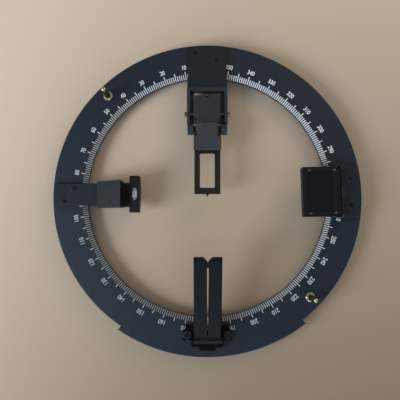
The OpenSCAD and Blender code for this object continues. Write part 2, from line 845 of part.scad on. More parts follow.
// The frame's outline from above, with y = 0 at the hinge and the tip towards -y
module frame_outline() {
    difference() {
        translate([-frame_w / 2, -frame_l]) square([frame_w, frame_l]);
        translate([0, -window_near - window_l / 2])
            rounded_rectangle(window_w, window_l, window_corner_r);
        translate([rail_w - frame_w / 2, cross_bar_w - window_near])
            square([frame_w - 2 * rail_w, window_near]);
    }
    polygon([
        [-pointer_w / 2, -frame_l], [0, -frame_l - pointer_l], [pointer_w / 2, -frame_l]
    ]);
}

module sight_frame() color(satin_black) facing(north) difference() {
    union() {
        translate([0, frame_hinge_y, frame_low]) linear_extrude(height = frame_t) frame_outline();
        both_sides() {
            rod_x(
                2 * root_r, frame_w / 2 - rail_w, frame_w / 2, frame_hinge_y, frame_hinge_z
            );
            rod_x(2 * ear_r, frame_w / 2 - ear_t, frame_w / 2, ear_y, ear_z);
            box(
                frame_w / 2 - ear_t, frame_w / 2, ear_y - ear_r, ear_y + ear_r,
                frame_hinge_z, ear_z
            );
        }
    }
    both_sides() {
        rod_x(
            pivot_d + 2 * running_clear, 0, frame_w, frame_hinge_y, frame_hinge_z
        );
        rod_x(small_screw_d + 2 * running_clear, frame_w / 4, frame_w, ear_y, ear_z);
    }
    wire_line(wire_d + 2 * screw_clear);
    wire_screw_places() small_hole(wire_screw_l);
}

// The wire runs along the middle of the window
module wire_line(d) {
    translate([0, frame_hinge_y - window_near + wire_hold, wire_z])
        rotate([90, 0, 0]) cylinder(d = d, h = window_l + 2 * wire_hold, $fn = 24);
}

wire_z = frame_hinge_z + frame_top - frame_t / 2;

module wire_screw_places() {
    for (y = [
        frame_hinge_y - window_near + wire_hold + small_head_d / 2,
        frame_hinge_y - window_near - window_l - wire_hold - small_head_d / 2
    ])
        translate([0, y, frame_high]) children();
}

module sight_wire() color(deep_black) facing(north) wire_line(wire_d);

module sight_wire_screws() color(bright_steel) facing(north)
    wire_screw_places() small_screw(wire_screw_l);

module sight_frame_pivots() color(bright_steel) facing(north) both_sides() difference() {
    rod_x(
        pivot_d, frame_w / 2 - rail_w + side_clear, barrel_out, frame_hinge_y, frame_hinge_z
    );
    box(
        barrel_out - small_slot_h, barrel_out + cut,
        frame_hinge_y - small_slot_w / 2, frame_hinge_y + small_slot_w / 2,
        frame_hinge_z - pivot_d, frame_hinge_z + pivot_d
    );
}

module sight_frame_washers() color(bright_steel) facing(north) both_sides() difference() {
    rod_x(frame_washer_d, barrel_x - frame_washer_t, barrel_x, frame_hinge_y, frame_hinge_z);
    rod_x(
        pivot_d + 2 * screw_clear, barrel_x - frame_washer_t - cut, barrel_x + cut,
        frame_hinge_y, frame_hinge_z
    );
}

// The black mirror lies over the folded frame and tilts on the frame's two ears

holder_low = frame_high + holder_gap;
holder_narrow_w = frame_w - 2 * rail_w - 2 * heel_gap;
holder_step = ear_r + holder_step_clear;
glass_w = holder_narrow_w - 2 * glass_side_rim - 2 * pocket_clear;
glass_l = holder_reach + holder_heel - 2 * glass_rim - 2 * pocket_clear;
glass_y = ear_y + (holder_heel - holder_reach) / 2;

module holder_outline() {
    polygon([
        [ear_y + holder_heel, holder_low], [ear_y + holder_heel, holder_low + holder_t - holder_bevel],
        [ear_y + holder_heel - holder_bevel, holder_low + holder_t],
        [ear_y - holder_reach + holder_bevel, holder_low + holder_t],
        [ear_y - holder_reach, holder_low + holder_t - holder_bevel],
        [ear_y - holder_reach, holder_low]
    ]);
}

module black_mirror_holder() color(mirror_black) facing(north) difference() {
    union() {
        side_profile(holder_narrow_w) holder_outline();
        intersection() {
            side_profile(holder_w) holder_outline();
            box(
                -holder_w, holder_w, 0, ear_y - holder_step,
                holder_low - cut, holder_low + holder_t + cut
            );
        }
    }
    translate([0, glass_y, holder_low - cut]) linear_extrude(height = cut + glass_t + pocket_clear)
        square([glass_w + 2 * pocket_clear, glass_l + 2 * pocket_clear], center = true);
    both_sides() rod_x(
        small_screw_d + 2 * screw_clear,
        holder_narrow_w / 2 - mirror_screw_hold - screw_clear, holder_w, ear_y, ear_z
    );
}

module black_mirror_glass() color(deep_black) facing(north)
    translate([-glass_w / 2, glass_y - glass_l / 2, holder_low])
        cube([glass_w, glass_l, glass_t]);

module black_mirror_pivot_screws() color(bright_steel) facing(north) both_sides() {
    rod_x(
        small_screw_d, holder_narrow_w / 2 - mirror_screw_hold,
        frame_w / 2 + side_clear, ear_y, ear_z
    );
    rod_x(
        small_head_d, frame_w / 2 + side_clear / 2,
        frame_w / 2 + side_clear / 2 + mirror_screw_head_t, ear_y, ear_z
    );
}

// The eye vane lies folded towards the middle and stands up to look across the ring

vane_hinge_y = bore_r + vane_hinge_out;
vane_base_top = ring_h + vane_base_t;
vane_hinge_z = vane_base_top + knuckle_gap + vane_knuckle_d / 2;
lug_x = vane_w / 2 + side_clear + vane_washer_t;
back_ledge_y = vane_hinge_y + vane_knuckle_d / 2 + back_clear;
vane_base_inner = bore_r + vane_screw_out - wing_in;
vane_base_outer = bore_r + vane_screw_out + wing_out;

// The notch in the vane's tip: a V with a round root and rounded shoulders, tip at y = 0
module notch_outline() {
    half = notch_w / 2;
    side = atan(half / notch_h);
    tangent = notch_shoulder_r * tan((90 - side) / 2);
    polygon([[-half, cut], [-half, 0], [0, -notch_h], [half, 0], [half, cut]]);
    translate([0, -notch_h]) circle(r = notch_root_r, $fn = 24);
    both_sides() difference() {
        polygon([
            [half - tangent * sin(side), -tangent * cos(side)], [half - cut, cut],
            [half + tangent, cut], [half + tangent, 0]
        ]);
        translate([half + tangent, -notch_shoulder_r]) circle(r = notch_shoulder_r);
    }
}

// The vane's outline from above, with y = 0 at the pin and the tip towards +y
module vane_outline() {
    difference() {
        translate([-vane_w / 2, 0]) square([vane_w, vane_l]);
        translate([0, vane_l]) notch_outline();
        polygon([
            [-slit_near_w / 2, slit_near], [slit_near_w / 2, slit_near],
            [slit_tip_w / 2, vane_l - slit_tip], [-slit_tip_w / 2, vane_l - slit_tip]
        ]);
    }
}

module vane_blank() {
    intersection() {
        translate([0, 0, -vane_t / 2]) linear_extrude(height = vane_t) vane_outline();
        translate([0, vane_l + cut, -vane_t / 2]) rotate([90, 0, 0])
            linear_extrude(height = vane_l + 2 * cut)
                polygon([
                    [-vane_w / 2, 0], [vane_w / 2, 0], [vane_w / 2, vane_t - vane_chamfer],
                    [vane_w / 2 - vane_chamfer, vane_t], [vane_chamfer - vane_w / 2, vane_t],
                    [-vane_w / 2, vane_t - vane_chamfer]
                ]);
        side_profile(2 * vane_w) polygon([
            [0, -vane_t / 2], [vane_l, -vane_t / 2], [vane_l, vane_t / 2 - vane_bevel_t],
            [vane_l - vane_bevel_l, vane_t / 2], [0, vane_t / 2]
        ]);
    }
    rod_x(vane_knuckle_d, -vane_w / 2, vane_w / 2, 0, 0);
    // The square heel meets the base plate when the vane is upright
    box(
        -vane_w / 2, vane_w / 2, vane_base_top + running_clear - vane_hinge_z, 0,
        0, vane_t / 2
    );
}

module eye_vane() color(anodised) facing(south)
    translate([0, vane_hinge_y, vane_hinge_z]) rotate([-vane_fold_angle, 0, 0])
        mirror([0, 1, 0]) difference() {
            vane_blank();
            rod_x(vane_pin_d + 2 * running_clear, -vane_w, vane_w, 0, 0);
        }

module vane_base_outline() {
    wing_w = vane_base_w / 2;
    toe_w = toe_span / 2;
    back_y = back_ledge_y + back_t;
    both_sides() polygon([
        [-cut, vane_base_inner], [toe_gap / 2, vane_base_inner],
        [toe_gap / 2, vane_base_inner - toe_l], [toe_w, vane_base_inner - toe_l],
        [toe_w, vane_base_inner], [wing_w, vane_base_inner], [wing_w, vane_base_outer],
        [back_w / 2, vane_base_outer], [back_w / 2, back_y - back_corner],
        [back_w / 2 - back_corner, back_y], [tail_w / 2, back_y],
        [tail_w / 2, back_y + tail_l], [-cut, back_y + tail_l]
    ]);
}

module eye_vane_base() color(anodised) facing(south) difference() {
    union() {
        translate([0, 0, ring_h]) linear_extrude(height = vane_base_t) vane_base_outline();
        intersection() {
            translate([0, 0, ring_h]) linear_extrude(height = vane_base_t + back_h)
                vane_base_outline();
            box(-back_w, back_w, back_ledge_y, ring_r, ring_h, 2 * ring_h);
        }
        both_sides() {
            rod_x(2 * lug_r, lug_x, lug_x + lug_t, vane_hinge_y, vane_hinge_z);
            box(
                lug_x, lug_x + lug_t, vane_hinge_y - lug_r, vane_base_outer,
                vane_base_top - vane_base_t / 2, vane_hinge_z
            );
        }
    }
    rod_x(
        vane_pin_d + 2 * screw_clear, -vane_w, vane_w, vane_hinge_y, vane_hinge_z
    );
    fixing_holes(vane_screws_at, vane_base_top);
}

module eye_vane_base_screws() color(deep_black) facing(south)
    fixing_screws(vane_screws_at, vane_base_top);

module eye_vane_pin() color(bright_steel) facing(south)
    rod_x(vane_pin_d, -lug_x - lug_t, lug_x + lug_t, vane_hinge_y, vane_hinge_z);

module eye_vane_washers() color(bright_steel) facing(south) both_sides() difference() {
    rod_x(vane_washer_d, lug_x - vane_washer_t, lug_x, vane_hinge_y, vane_hinge_z);
    rod_x(
        vane_pin_d + 2 * screw_clear, lug_x - vane_washer_t - cut, lug_x + cut,
        vane_hinge_y, vane_hinge_z
    );
}

// The level plate, the sun prism's housing and the spirit level at its inner end

level_end = inner_r - level_overhang;
housing_y = level_end - housing_l;
housing_floor_z = hang_z + level_bracket_t;
bracket_end_y = level_end - bracket_short;
tongue_screws_at = [
    for (x = [-1, 1]) [x * tongue_screw_spread, level_end + level_overhang / 2]
];
bracket_to_housing_x = sun_prism_w / 2 + prism_to_screw;
bracket_to_housing_at = [
    for (x = [-1, 1], y = [housing_y + bracket_screw_front, bracket_end_y - bracket_screw_back])
        [x * bracket_to_housing_x, y]
];
sun_prism_front = housing_y + front_wall_t + pocket_clear;
sun_prism_base = housing_floor_z + housing_floor_t + pocket_clear;
lid_under_inner = sun_prism_base + sun_prism_leg + prism_headroom;
lid_under_outer = ring_h + lid_low;
lid_slope = atan((lid_under_inner - lid_under_outer) / housing_l);
lid_drop = lid_t / cos(lid_slope);

module level_plate() color(anodised) facing(west) difference() {
    on_ring() chamfered_plate(
        level_plate_w, level_end, ring_r, ring_h, plate_t, plate_chamfer
    );
    fixing_holes(level_screws_at, plate_z);
    from_below(tongue_screws_at, hang_z) small_hole(housing_screw_l);
}

module level_plate_screws() color(deep_black) facing(west)
    fixing_screws(level_screws_at, plate_z);

// The windows that let the sun's ray into the prism and down to the compass card
module sun_prism_windows() {
    half = sun_prism_w / 2 - window_overlap;
    near = 2 * window_overlap;
    box(
        -half, half, housing_y - cut, sun_prism_front + cut,
        sun_prism_base + window_overlap, sun_prism_base + sun_prism_leg - near
    );
    box(
        -half, half, sun_prism_front + window_overlap,
        sun_prism_front + sun_prism_leg - near, hang_z - cut, sun_prism_base + cut
    );
}

module lid_screw_places() {
    lid_screw_z = lid_under_inner + lid_drop - lid_screw_in * tan(lid_slope);
    for (x = [-1, 1])
        translate([x * lid_screw_spread, housing_y + lid_screw_in, lid_screw_z])
            rotate([-lid_slope, 0, 0]) children();
}

module sun_prism_housing() color(anodised) facing(west) difference() {
    union() {
        side_profile(housing_w) polygon([
            [housing_y, housing_floor_z], [housing_y, lid_under_inner],
            [level_end, lid_under_outer], [level_end, hang_z],
            [bracket_end_y + ring_clear, hang_z], [bracket_end_y + ring_clear, housing_floor_z]
        ]);
        inside_ring() box(
            -tongue_w / 2, tongue_w / 2, level_end - cut, inner_r, hang_z, ring_h
        );
    }
    box(
        -sun_prism_w / 2 - pocket_clear, sun_prism_w / 2 + pocket_clear,
        sun_prism_front - pocket_clear, sun_prism_front + sun_prism_leg + pocket_clear,
        sun_prism_base - pocket_clear, lid_under_inner + cut
    );
    sun_prism_windows();
    from_below(tongue_screws_at, hang_z) small_hole(housing_screw_l);
    from_below(bracket_to_housing_at, hang_z) small_hole(housing_screw_l);
    lid_screw_places() small_hole(housing_screw_l);
}

module sun_prism_housing_screws() color(bright_steel) facing(west)
    from_below(tongue_screws_at, hang_z) small_screw(housing_screw_l);

module sun_prism_lid() color(anodised) facing(west) difference() {
    side_profile(housing_w) polygon([
        [housing_y, lid_under_inner], [housing_y, lid_under_inner + lid_drop],
        [level_end, lid_under_outer + lid_drop], [level_end, lid_under_outer]
    ]);
    lid_screw_places() small_hole(housing_screw_l);
}

module sun_prism_lid_screws() color(deep_black) facing(west)
    lid_screw_places() small_screw(housing_screw_l);

module sun_prism() color(clear_glass) facing(west)
    side_profile(sun_prism_w)
        right_prism_outline(sun_prism_front, sun_prism_base, sun_prism_leg);

level_far_y = housing_y - level_gap;
level_near_y = level_far_y - level_w;
level_top_z = ring_h + level_rise;
vial_y = level_far_y - level_w / 2;
vial_z = level_top_z - vial_cover - vial_bore_d / 2;
vial_d = vial_bore_d - 2 * pocket_clear;
vial_l = level_l - 2 * end_cap_l - 2 * pocket_clear;
spirit_d = vial_d - 2 * vial_wall - 2 * screw_clear;
foot_screws_at = [for (x = [-1, 1]) [x * foot_screw_spread, level_far_y + foot_l / 2]];

module level_bracket() color(deep_black) facing(west) difference() {
    box(
        -level_bracket_w / 2, level_bracket_w / 2, level_near_y, bracket_end_y,
        hang_z, housing_floor_z
    );
    sun_prism_windows();
    from_below(bracket_to_housing_at, hang_z) small_hole(housing_screw_l);
    foot_screw_places() small_hole(foot_screw_l);
}

module level_bracket_screws() color(bright_steel) facing(west)
    from_below(bracket_to_housing_at, hang_z) small_screw(housing_screw_l);

module foot_screw_places() {
    for (p = foot_screws_at)
        translate([p.x, p.y, housing_floor_z + foot_t]) children();
}

module stadium(l, w) {
    square([l - w, w], center = true);
    for (x = [-1, 1])
        translate([x * (l - w) / 2, 0]) circle(d = w);
}

module level_case() color(satin_black) facing(west) difference() {
    union() {
        side_profile(level_l) polygon([
            [level_near_y, housing_floor_z], [level_far_y, housing_floor_z],
            [level_far_y, level_top_z - level_chamfer], [level_far_y - level_chamfer, level_top_z],
            [level_near_y + level_chamfer, level_top_z],
            [level_near_y, level_top_z - level_chamfer]
        ]);
        box(
            -foot_w / 2, foot_w / 2, level_far_y - cut, level_far_y + foot_l,
            housing_floor_z, housing_floor_z + foot_t
        );
    }
    rod_x(vial_bore_d, -level_l, level_l, vial_y, vial_z);
    translate([0, vial_y, vial_z]) linear_extrude(height = level_rise)
        stadium(level_window_l, level_window_w);
    foot_screw_places() small_hole(foot_screw_l);
}

module level_case_screws() color(bright_steel) facing(west)
    foot_screw_places() small_screw(foot_screw_l);

module level_vial() color(clear_glass) facing(west) difference() {
    rod_x(vial_d, -vial_l / 2, vial_l / 2, vial_y, vial_z);
    rod_x(vial_d - 2 * vial_wall, -level_l, level_l, vial_y, vial_z);
}

module level_spirit() color(level_green) facing(west) difference() {
    rod_x(spirit_d, -vial_l / 2, vial_l / 2, vial_y, vial_z);
    box(
        -bubble_l / 2, bubble_l / 2, vial_y - spirit_d, vial_y + spirit_d,
        vial_z + spirit_d / 2 - bubble_h, vial_z + spirit_d
    );
}

module level_end_caps() color(deep_black) facing(west) both_sides() difference() {
    rod_x(
        vial_bore_d - 2 * screw_clear, level_l / 2 - end_cap_l, level_l / 2, vial_y, vial_z
    );
    box(
        level_l / 2 - small_slot_h, level_l / 2 + cut,
        vial_y - small_slot_w / 2, vial_y + small_slot_w / 2,
        vial_z - vial_bore_d, vial_z + vial_bore_d
    );
}

// The sun mirror folds face down over the ring's edge and stands up on its hinge

mirror_hinge_y = bore_r + mirror_hinge_out;
mirror_hinge_z = ring_h + mirror_hinge_rise;
mirror_plate_y = mirror_hinge_y + mirror_base_clear;
mirror_ear_x = mirror_base_w / 2 - mirror_ear_w;
mirror_case_y = mirror_hinge_y - mirror_case_near - mirror_case_l / 2;
mirror_case_z = ring_h + mirror_case_low;
mirror_case_top = mirror_case_z + mirror_case_t;
hinge_bar_x = mirror_ear_x - side_clear;
hinge_bar_low = mirror_hinge_z - hinge_bar_drop;

// The folded mirror rests on the two pads at the ends of the side arms
module sun_mirror_base() color(satin_black) facing(mirror_side) difference() {
    union() {
        on_ring() chamfered_plate(
            mirror_base_w, mirror_plate_y, ring_r, ring_h, plate_t, plate_chamfer
        );
        both_sides() {
            box(
                mirror_ear_x, mirror_base_w / 2, mirror_hinge_y - mirror_arm_l,
                mirror_plate_y + cut, ring_h, ring_h + mirror_arm_t
            );
            box(
                mirror_ear_x, mirror_case_w / 2,
                mirror_hinge_y - mirror_arm_l - mirror_pad_l, mirror_hinge_y - mirror_arm_l + cut,
                ring_h, mirror_case_z - side_clear
            );
            box(
                mirror_ear_x, mirror_base_w / 2, mirror_hinge_y - mirror_knuckle_r,
                mirror_hinge_y + mirror_knuckle_r, ring_h, mirror_hinge_z
            );
            rod_x(
                2 * mirror_knuckle_r, mirror_ear_x, mirror_base_w / 2,
                mirror_hinge_y, mirror_hinge_z
            );
        }
        box(
            -mirror_knuckle_w / 2, mirror_knuckle_w / 2, mirror_hinge_y,
            mirror_plate_y + cut, ring_h, mirror_hinge_z - mirror_pin_d / 2
        );
        rod_x(
            2 * mirror_knuckle_r, -mirror_knuckle_w / 2, mirror_knuckle_w / 2,
            mirror_hinge_y, mirror_hinge_z
        );
    }
    rod_x(
        mirror_pin_d + 2 * screw_clear, -mirror_base_w, mirror_base_w,
        mirror_hinge_y, mirror_hinge_z
    );
    fixing_holes(mirror_screws_at, plate_z);
}

module sun_mirror_base_screws() color(deep_black) facing(mirror_side)
    fixing_screws(mirror_screws_at, plate_z);

module sun_mirror_hinge_pin() color(bright_steel) facing(mirror_side)
    rod_x(
        mirror_pin_d, -mirror_base_w / 2, mirror_base_w / 2, mirror_hinge_y, mirror_hinge_z
    );

module sun_mirror_case() color(deep_black) facing(mirror_side) difference() {
    union() {
        translate([0, mirror_case_y, mirror_case_z]) linear_extrude(height = mirror_case_t)
            rounded_rectangle(mirror_case_w, mirror_case_l, mirror_corner_r);
        box(
            -hinge_bar_x, hinge_bar_x, mirror_case_y + mirror_case_l / 2 - cut,
            mirror_hinge_y - mirror_knuckle_r - hinge_bar_gap,
            hinge_bar_low, mirror_hinge_z + hinge_bar_rise
        );
        both_sides() {
            knuckle_x = mirror_knuckle_w / 2 + side_clear;
            box(
                knuckle_x, hinge_bar_x, mirror_hinge_y - mirror_case_near,
                mirror_hinge_y, hinge_bar_low, mirror_hinge_z + mirror_pin_d / 2
            );
            rod_x(
                2 * mirror_knuckle_r, knuckle_x, hinge_bar_x, mirror_hinge_y, mirror_hinge_z
            );
        }
    }
    case_pocket(panel_rim, mirror_case_top - panel_t - panel_sink, mirror_case_top + cut);
    case_pocket(sun_glass_rim, mirror_case_z - cut, mirror_case_z + sun_glass_t + pocket_clear);
    rod_x(
        mirror_pin_d + 2 * running_clear, -mirror_base_w, mirror_base_w,
        mirror_hinge_y, mirror_hinge_z
    );
}

// What lies in the case, rim away from its sides
module case_pocket(rim, z0, z1) {
    translate([0, mirror_case_y, z0]) linear_extrude(height = z1 - z0)
        square([mirror_case_w - 2 * rim, mirror_case_l - 2 * rim], center = true);
}

module sun_mirror_back_panel() color(deep_black) facing(mirror_side)
    case_pocket(
        panel_rim + pocket_clear, mirror_case_top - panel_t - panel_sink,
        mirror_case_top - panel_sink
    );

module sun_mirror_glass() color(silvered) facing(mirror_side) {
    half_w = mirror_case_w / 2 - sun_glass_rim - pocket_clear;
    hollow = sun_glass_r - sqrt(sun_glass_r * sun_glass_r - half_w * half_w);
    difference() {
        case_pocket(sun_glass_rim + pocket_clear, mirror_case_z, mirror_case_z + sun_glass_t);
        translate([0, mirror_case_y + mirror_case_l, mirror_case_z + hollow - sun_glass_r])
            rotate([90, 0, 0]) cylinder(r = sun_glass_r, h = 2 * mirror_case_l, $fn = 720);
    }
}

module sun_mirror_clips() color(bright_steel) facing(mirror_side) both_sides() {
    clip_x = mirror_case_w / 2 - panel_rim;
    for (y = [
        mirror_case_y - mirror_case_l / 2 + clip_inner,
        mirror_case_y + mirror_case_l / 2 - clip_outer
    ])
        box(
            clip_x, clip_x + clip_w, y - clip_l / 2, y + clip_l / 2,
            mirror_case_top, mirror_case_top + clip_h
        );
}

ring();
turning_knob_left();
turning_knob_right();
foresight_plate();
foresight_plate_screws();
foresight_bracket();
foresight_bracket_screws();
reading_prism();
reading_prism_case();
reading_prism_cover();
reading_prism_cover_screws();
reading_prism_clamp_screws();
sight_frame();
sight_frame_pivots();
sight_frame_washers();
sight_wire();
sight_wire_screws();
black_mirror_holder();
black_mirror_glass();
black_mirror_pivot_screws();
eye_vane();
eye_vane_base();
eye_vane_base_screws();
eye_vane_pin();
eye_vane_washers();
level_plate();
level_plate_screws();
sun_prism_housing();
sun_prism_housing_screws();
sun_prism_lid();
sun_prism_lid_screws();
sun_prism();
level_bracket();
level_bracket_screws();
level_case();
level_case_screws();
level_vial();
level_spirit();
level_end_caps();
sun_mirror_base();
sun_mirror_base_screws();
sun_mirror_case();
sun_mirror_back_panel();
sun_mirror_glass();
sun_mirror_clips();
sun_mirror_hinge_pin();
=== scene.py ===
"""The looks of the bearing circle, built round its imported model.

Metres, +Z up. The sight line runs along Y, from the eye vane at -Y to the sight frame at +Y.
"""

import math

import bmesh
import bpy
from mathutils import Matrix, Vector


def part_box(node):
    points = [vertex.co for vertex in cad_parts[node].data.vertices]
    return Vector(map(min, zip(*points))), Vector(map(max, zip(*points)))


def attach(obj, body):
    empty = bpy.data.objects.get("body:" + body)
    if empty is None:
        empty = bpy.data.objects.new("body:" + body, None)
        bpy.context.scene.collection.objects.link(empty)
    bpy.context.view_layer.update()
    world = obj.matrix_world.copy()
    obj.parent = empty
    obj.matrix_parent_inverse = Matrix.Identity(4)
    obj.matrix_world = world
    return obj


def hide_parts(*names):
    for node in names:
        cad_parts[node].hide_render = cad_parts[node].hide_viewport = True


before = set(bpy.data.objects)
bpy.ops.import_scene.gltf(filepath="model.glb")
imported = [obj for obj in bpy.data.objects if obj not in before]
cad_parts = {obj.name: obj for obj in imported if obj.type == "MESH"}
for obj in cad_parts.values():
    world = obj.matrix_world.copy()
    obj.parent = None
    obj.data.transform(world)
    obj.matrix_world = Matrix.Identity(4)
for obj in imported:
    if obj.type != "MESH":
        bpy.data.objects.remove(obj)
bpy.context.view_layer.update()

MM = 0.001

# The camera looks down from where the photograph was taken, a little on the eye vane's side.
CAMERA_AT = Vector((-0.0046, -0.027, 0.322))
CAMERA_AIM = Vector((-0.00564, -0.004093, 0.010))
LENS = 36.27
SENSOR = 36.0
NEAREST = 5 * MM


def facing_from(place, aim, up):
    """The matrix of a camera or lamp at a place, turned to its aim."""
    back = (place - aim).normalized()
    right = up.cross(back).normalized()
    above = back.cross(right)
    turn = Matrix((right, above, back)).transposed().to_4x4()
    return Matrix.Translation(place) @ turn


def place_camera():
    """Sets the scene's camera at the photograph's viewpoint."""
    data = bpy.data.cameras.new("camera")
    data.lens = LENS
    data.sensor_width = SENSOR
    data.clip_start = NEAREST
    camera = bpy.data.objects.new("camera", data)
    camera.matrix_world = facing_from(CAMERA_AT, CAMERA_AIM, Vector((0, 1, 0)))
    bpy.context.collection.objects.link(camera)
    bpy.context.scene.camera = camera


# Colours, nodes and meshes.

def tone(colour):
    """An sRGB hex colour as the linear colour that a shader takes."""
    channels = [int(colour[i : i + 2], 16) / 255 for i in (1, 3, 5)]
    linear = [c / 12.92 if c <= 0.04045 else ((c + 0.055) / 1.055) ** 2.4 for c in channels]
    return (*linear, 1.0)


def scaled(colour, share):
    """A hex colour with each channel multiplied by a share."""
    channels = [min(255, round(int(colour[i : i + 2], 16) * share)) for i in (1, 3, 5)]
    return "#" + "".join(f"{c:02x}" for c in channels)


def add(tree, kind, sockets=None, **settings):
    """Adds a node with its own settings. Its sockets take values, or outputs to link."""
    node = tree.nodes.new(kind)
    for name, value in settings.items():
        setattr(node, name, value)
    for name, value in (sockets or {}).items():
        socket = next(s for s in node.inputs if name in (s.identifier, s.name))
        if isinstance(value, bpy.types.NodeSocket):
            tree.links.new(value, socket)
        else:
            socket.default_value = value
    return node


def new_material(name):
    """An empty material, its shader, its node tree and the place that its patterns read."""
    material = bpy.data.materials.new(name)
    material.use_nodes = True
    tree = material.node_tree
    tree.nodes.clear()
    shader = add(tree, "ShaderNodeBsdfPrincipled")
    add(tree, "ShaderNodeOutputMaterial", {"Surface": shader.outputs["BSDF"]})
    place = add(tree, "ShaderNodeTexCoord").outputs["Object"]
    return material, tree, shader, place


def new_piece(name, mesh, material, body="ring_body"):
    """A piece of the object from a finished mesh, riding on a body."""
    piece = bpy.data.objects.new(name, mesh)
    bpy.context.collection.objects.link(piece)
    mesh.materials.clear()
    mesh.materials.append(material)
    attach(piece, body)
    return piece


def plain_mesh(holder):
    """The mesh that an object shows with its modifiers. The object itself is removed."""
    graph = bpy.context.evaluated_depsgraph_get()
    mesh = bpy.data.meshes.new_from_object(holder.evaluated_get(graph))
    holder.modifiers.clear()
    bpy.data.objects.remove(holder)
    return mesh


def finished_mesh(name, shape):
    """The mesh of a bmesh, with its faces turned outwards. The bmesh is freed."""
    bmesh.ops.recalc_face_normals(shape, faces=shape.faces)
    mesh = bpy.data.meshes.new(name)
    shape.to_mesh(mesh)
    shape.free()
    return mesh


def join_rows(shape, row, following):
    """Faces between two rows of corners that go round the same outline."""
    for corner in range(len(row)):
        beside = (corner + 1) % len(row)
        shape.faces.new((row[corner], row[beside], following[beside], following[corner]))


def grown_mesh(name, inputs, build, material):
    """The plain mesh that a tree of Geometry Nodes makes from its named sizes."""
    tree = bpy.data.node_groups.new(name, "GeometryNodeTree")
    tree.interface.new_socket("Mesh", in_out="OUTPUT", socket_type="NodeSocketGeometry")
    sockets = {
        label: tree.interface.new_socket(
            label,
            in_out="INPUT",
            socket_type="NodeSocketInt" if isinstance(value, int) else "NodeSocketFloat",
        )
        for label, value in inputs.items()
    }
    given = add(tree, "NodeGroupInput").outputs
    real = add(tree, "GeometryNodeRealizeInstances", {"Geometry": build(tree, given)})
    painted = add(
        tree,
        "GeometryNodeSetMaterial",
        {"Geometry": real.outputs[0], "Material": material},
    )
    add(tree, "NodeGroupOutput", {"Mesh": painted.outputs[0]})
    holder = bpy.data.objects.new(name, bpy.data.meshes.new(name))
    bpy.context.collection.objects.link(holder)
    modifier = holder.modifiers.new(name, "NODES")
    modifier.node_group = tree
    for label, value in inputs.items():
        modifier[sockets[label].identifier] = value
    return plain_mesh(holder)


# Finishes. Each is named for the metal or glass and for how its surface was made.

# Patches where a dye or a coat took a little more or less, and how much paler it then is.
CLOUD = 9 * MM
CLOUD_PALER = 1.16
# The matt grain of an etched skin is finer than 0.1 mm. It is drawn coarser, so that it shows.
GRAIN = 0.3 * MM
GRAIN_RELIEF = 0.25
GRAIN_DULLS = (-0.06, 0.08)
# Hair scratches from handling lie across the pieces at a slant. Real ones are a few hundredths
# of a millimetre wide, and they are drawn coarser, so that they show.
HAIR_WIDTH = 0.12 * MM
HAIR_LENGTH = 7 * MM
HAIR_SLANT = 0.6
HAIR_PEAKS = (0.66, 0.76)
HAIR_COVERS = 0.22
# Edges are broken with a file by about this much, and bare metal a little less.
EDGE_ROUND = 0.2 * MM
BARE_EDGE_ROUND = 0.12 * MM
# How much of the true face is left in the rounded normal, where the paler edge, worn or a painted
# highlight, begins and is full.
EDGE_PALING_SPAN = (0.99, 0.72)
# Hands rub some stretches of an edge more, and the least rubbed ones keep this share of it.
# Painted edge highlights are broken up the same way.
RUBBED_PATCHES = (0.35, 0.65)
RUBBED_LEAST = 0.45
# A cutter's or lathe tool's marks are about 0.1 mm apart, which is too fine to show.
# They are drawn at several times that.
FACEPLATE_PITCH = 0.8 * MM
CUTTER_PITCH = 0.6 * MM
KNOB_PITCH = 0.35 * MM
SCREW_PITCH = 0.3 * MM
CUTTER_RELIEF = 0.3
LATHE_RELIEF = 0.15
MARK_DEPTH = 0.02 * MM
# Stains on bare metal, finger haze on glass, and specks of dirt in the white filling.
STAIN = 2.5 * MM
STAIN_DARKER = 0.82
STAIN_DULLS = (-0.05, 0.1)
HAZE = 4 * MM
HAZE_DULLS = 0.05
SPECK = 1.2 * MM
SPECK_PEAKS = (0.5, 0.75)
SPECK_COVERS = 0.6
FILLING_ROUGHNESS = 0.7
# Painted shade greys the filling at the ring's lower left, and it gets lighter in this direction.
FILLING_LIT_TOWARDS = (0.48, 0.88, 0.0)
FILLING_SHADED_AT = -95 * MM
FILLING_LIT_AT = 95 * MM
# A wave texture at Scale 1 goes through this many radians in a metre.
WAVE_RADIANS = 20


def wave_scale(pitch):
    """The Scale of a wave texture whose lines are a pitch apart, in metres."""
    return 2 * math.pi / (WAVE_RADIANS * pitch)


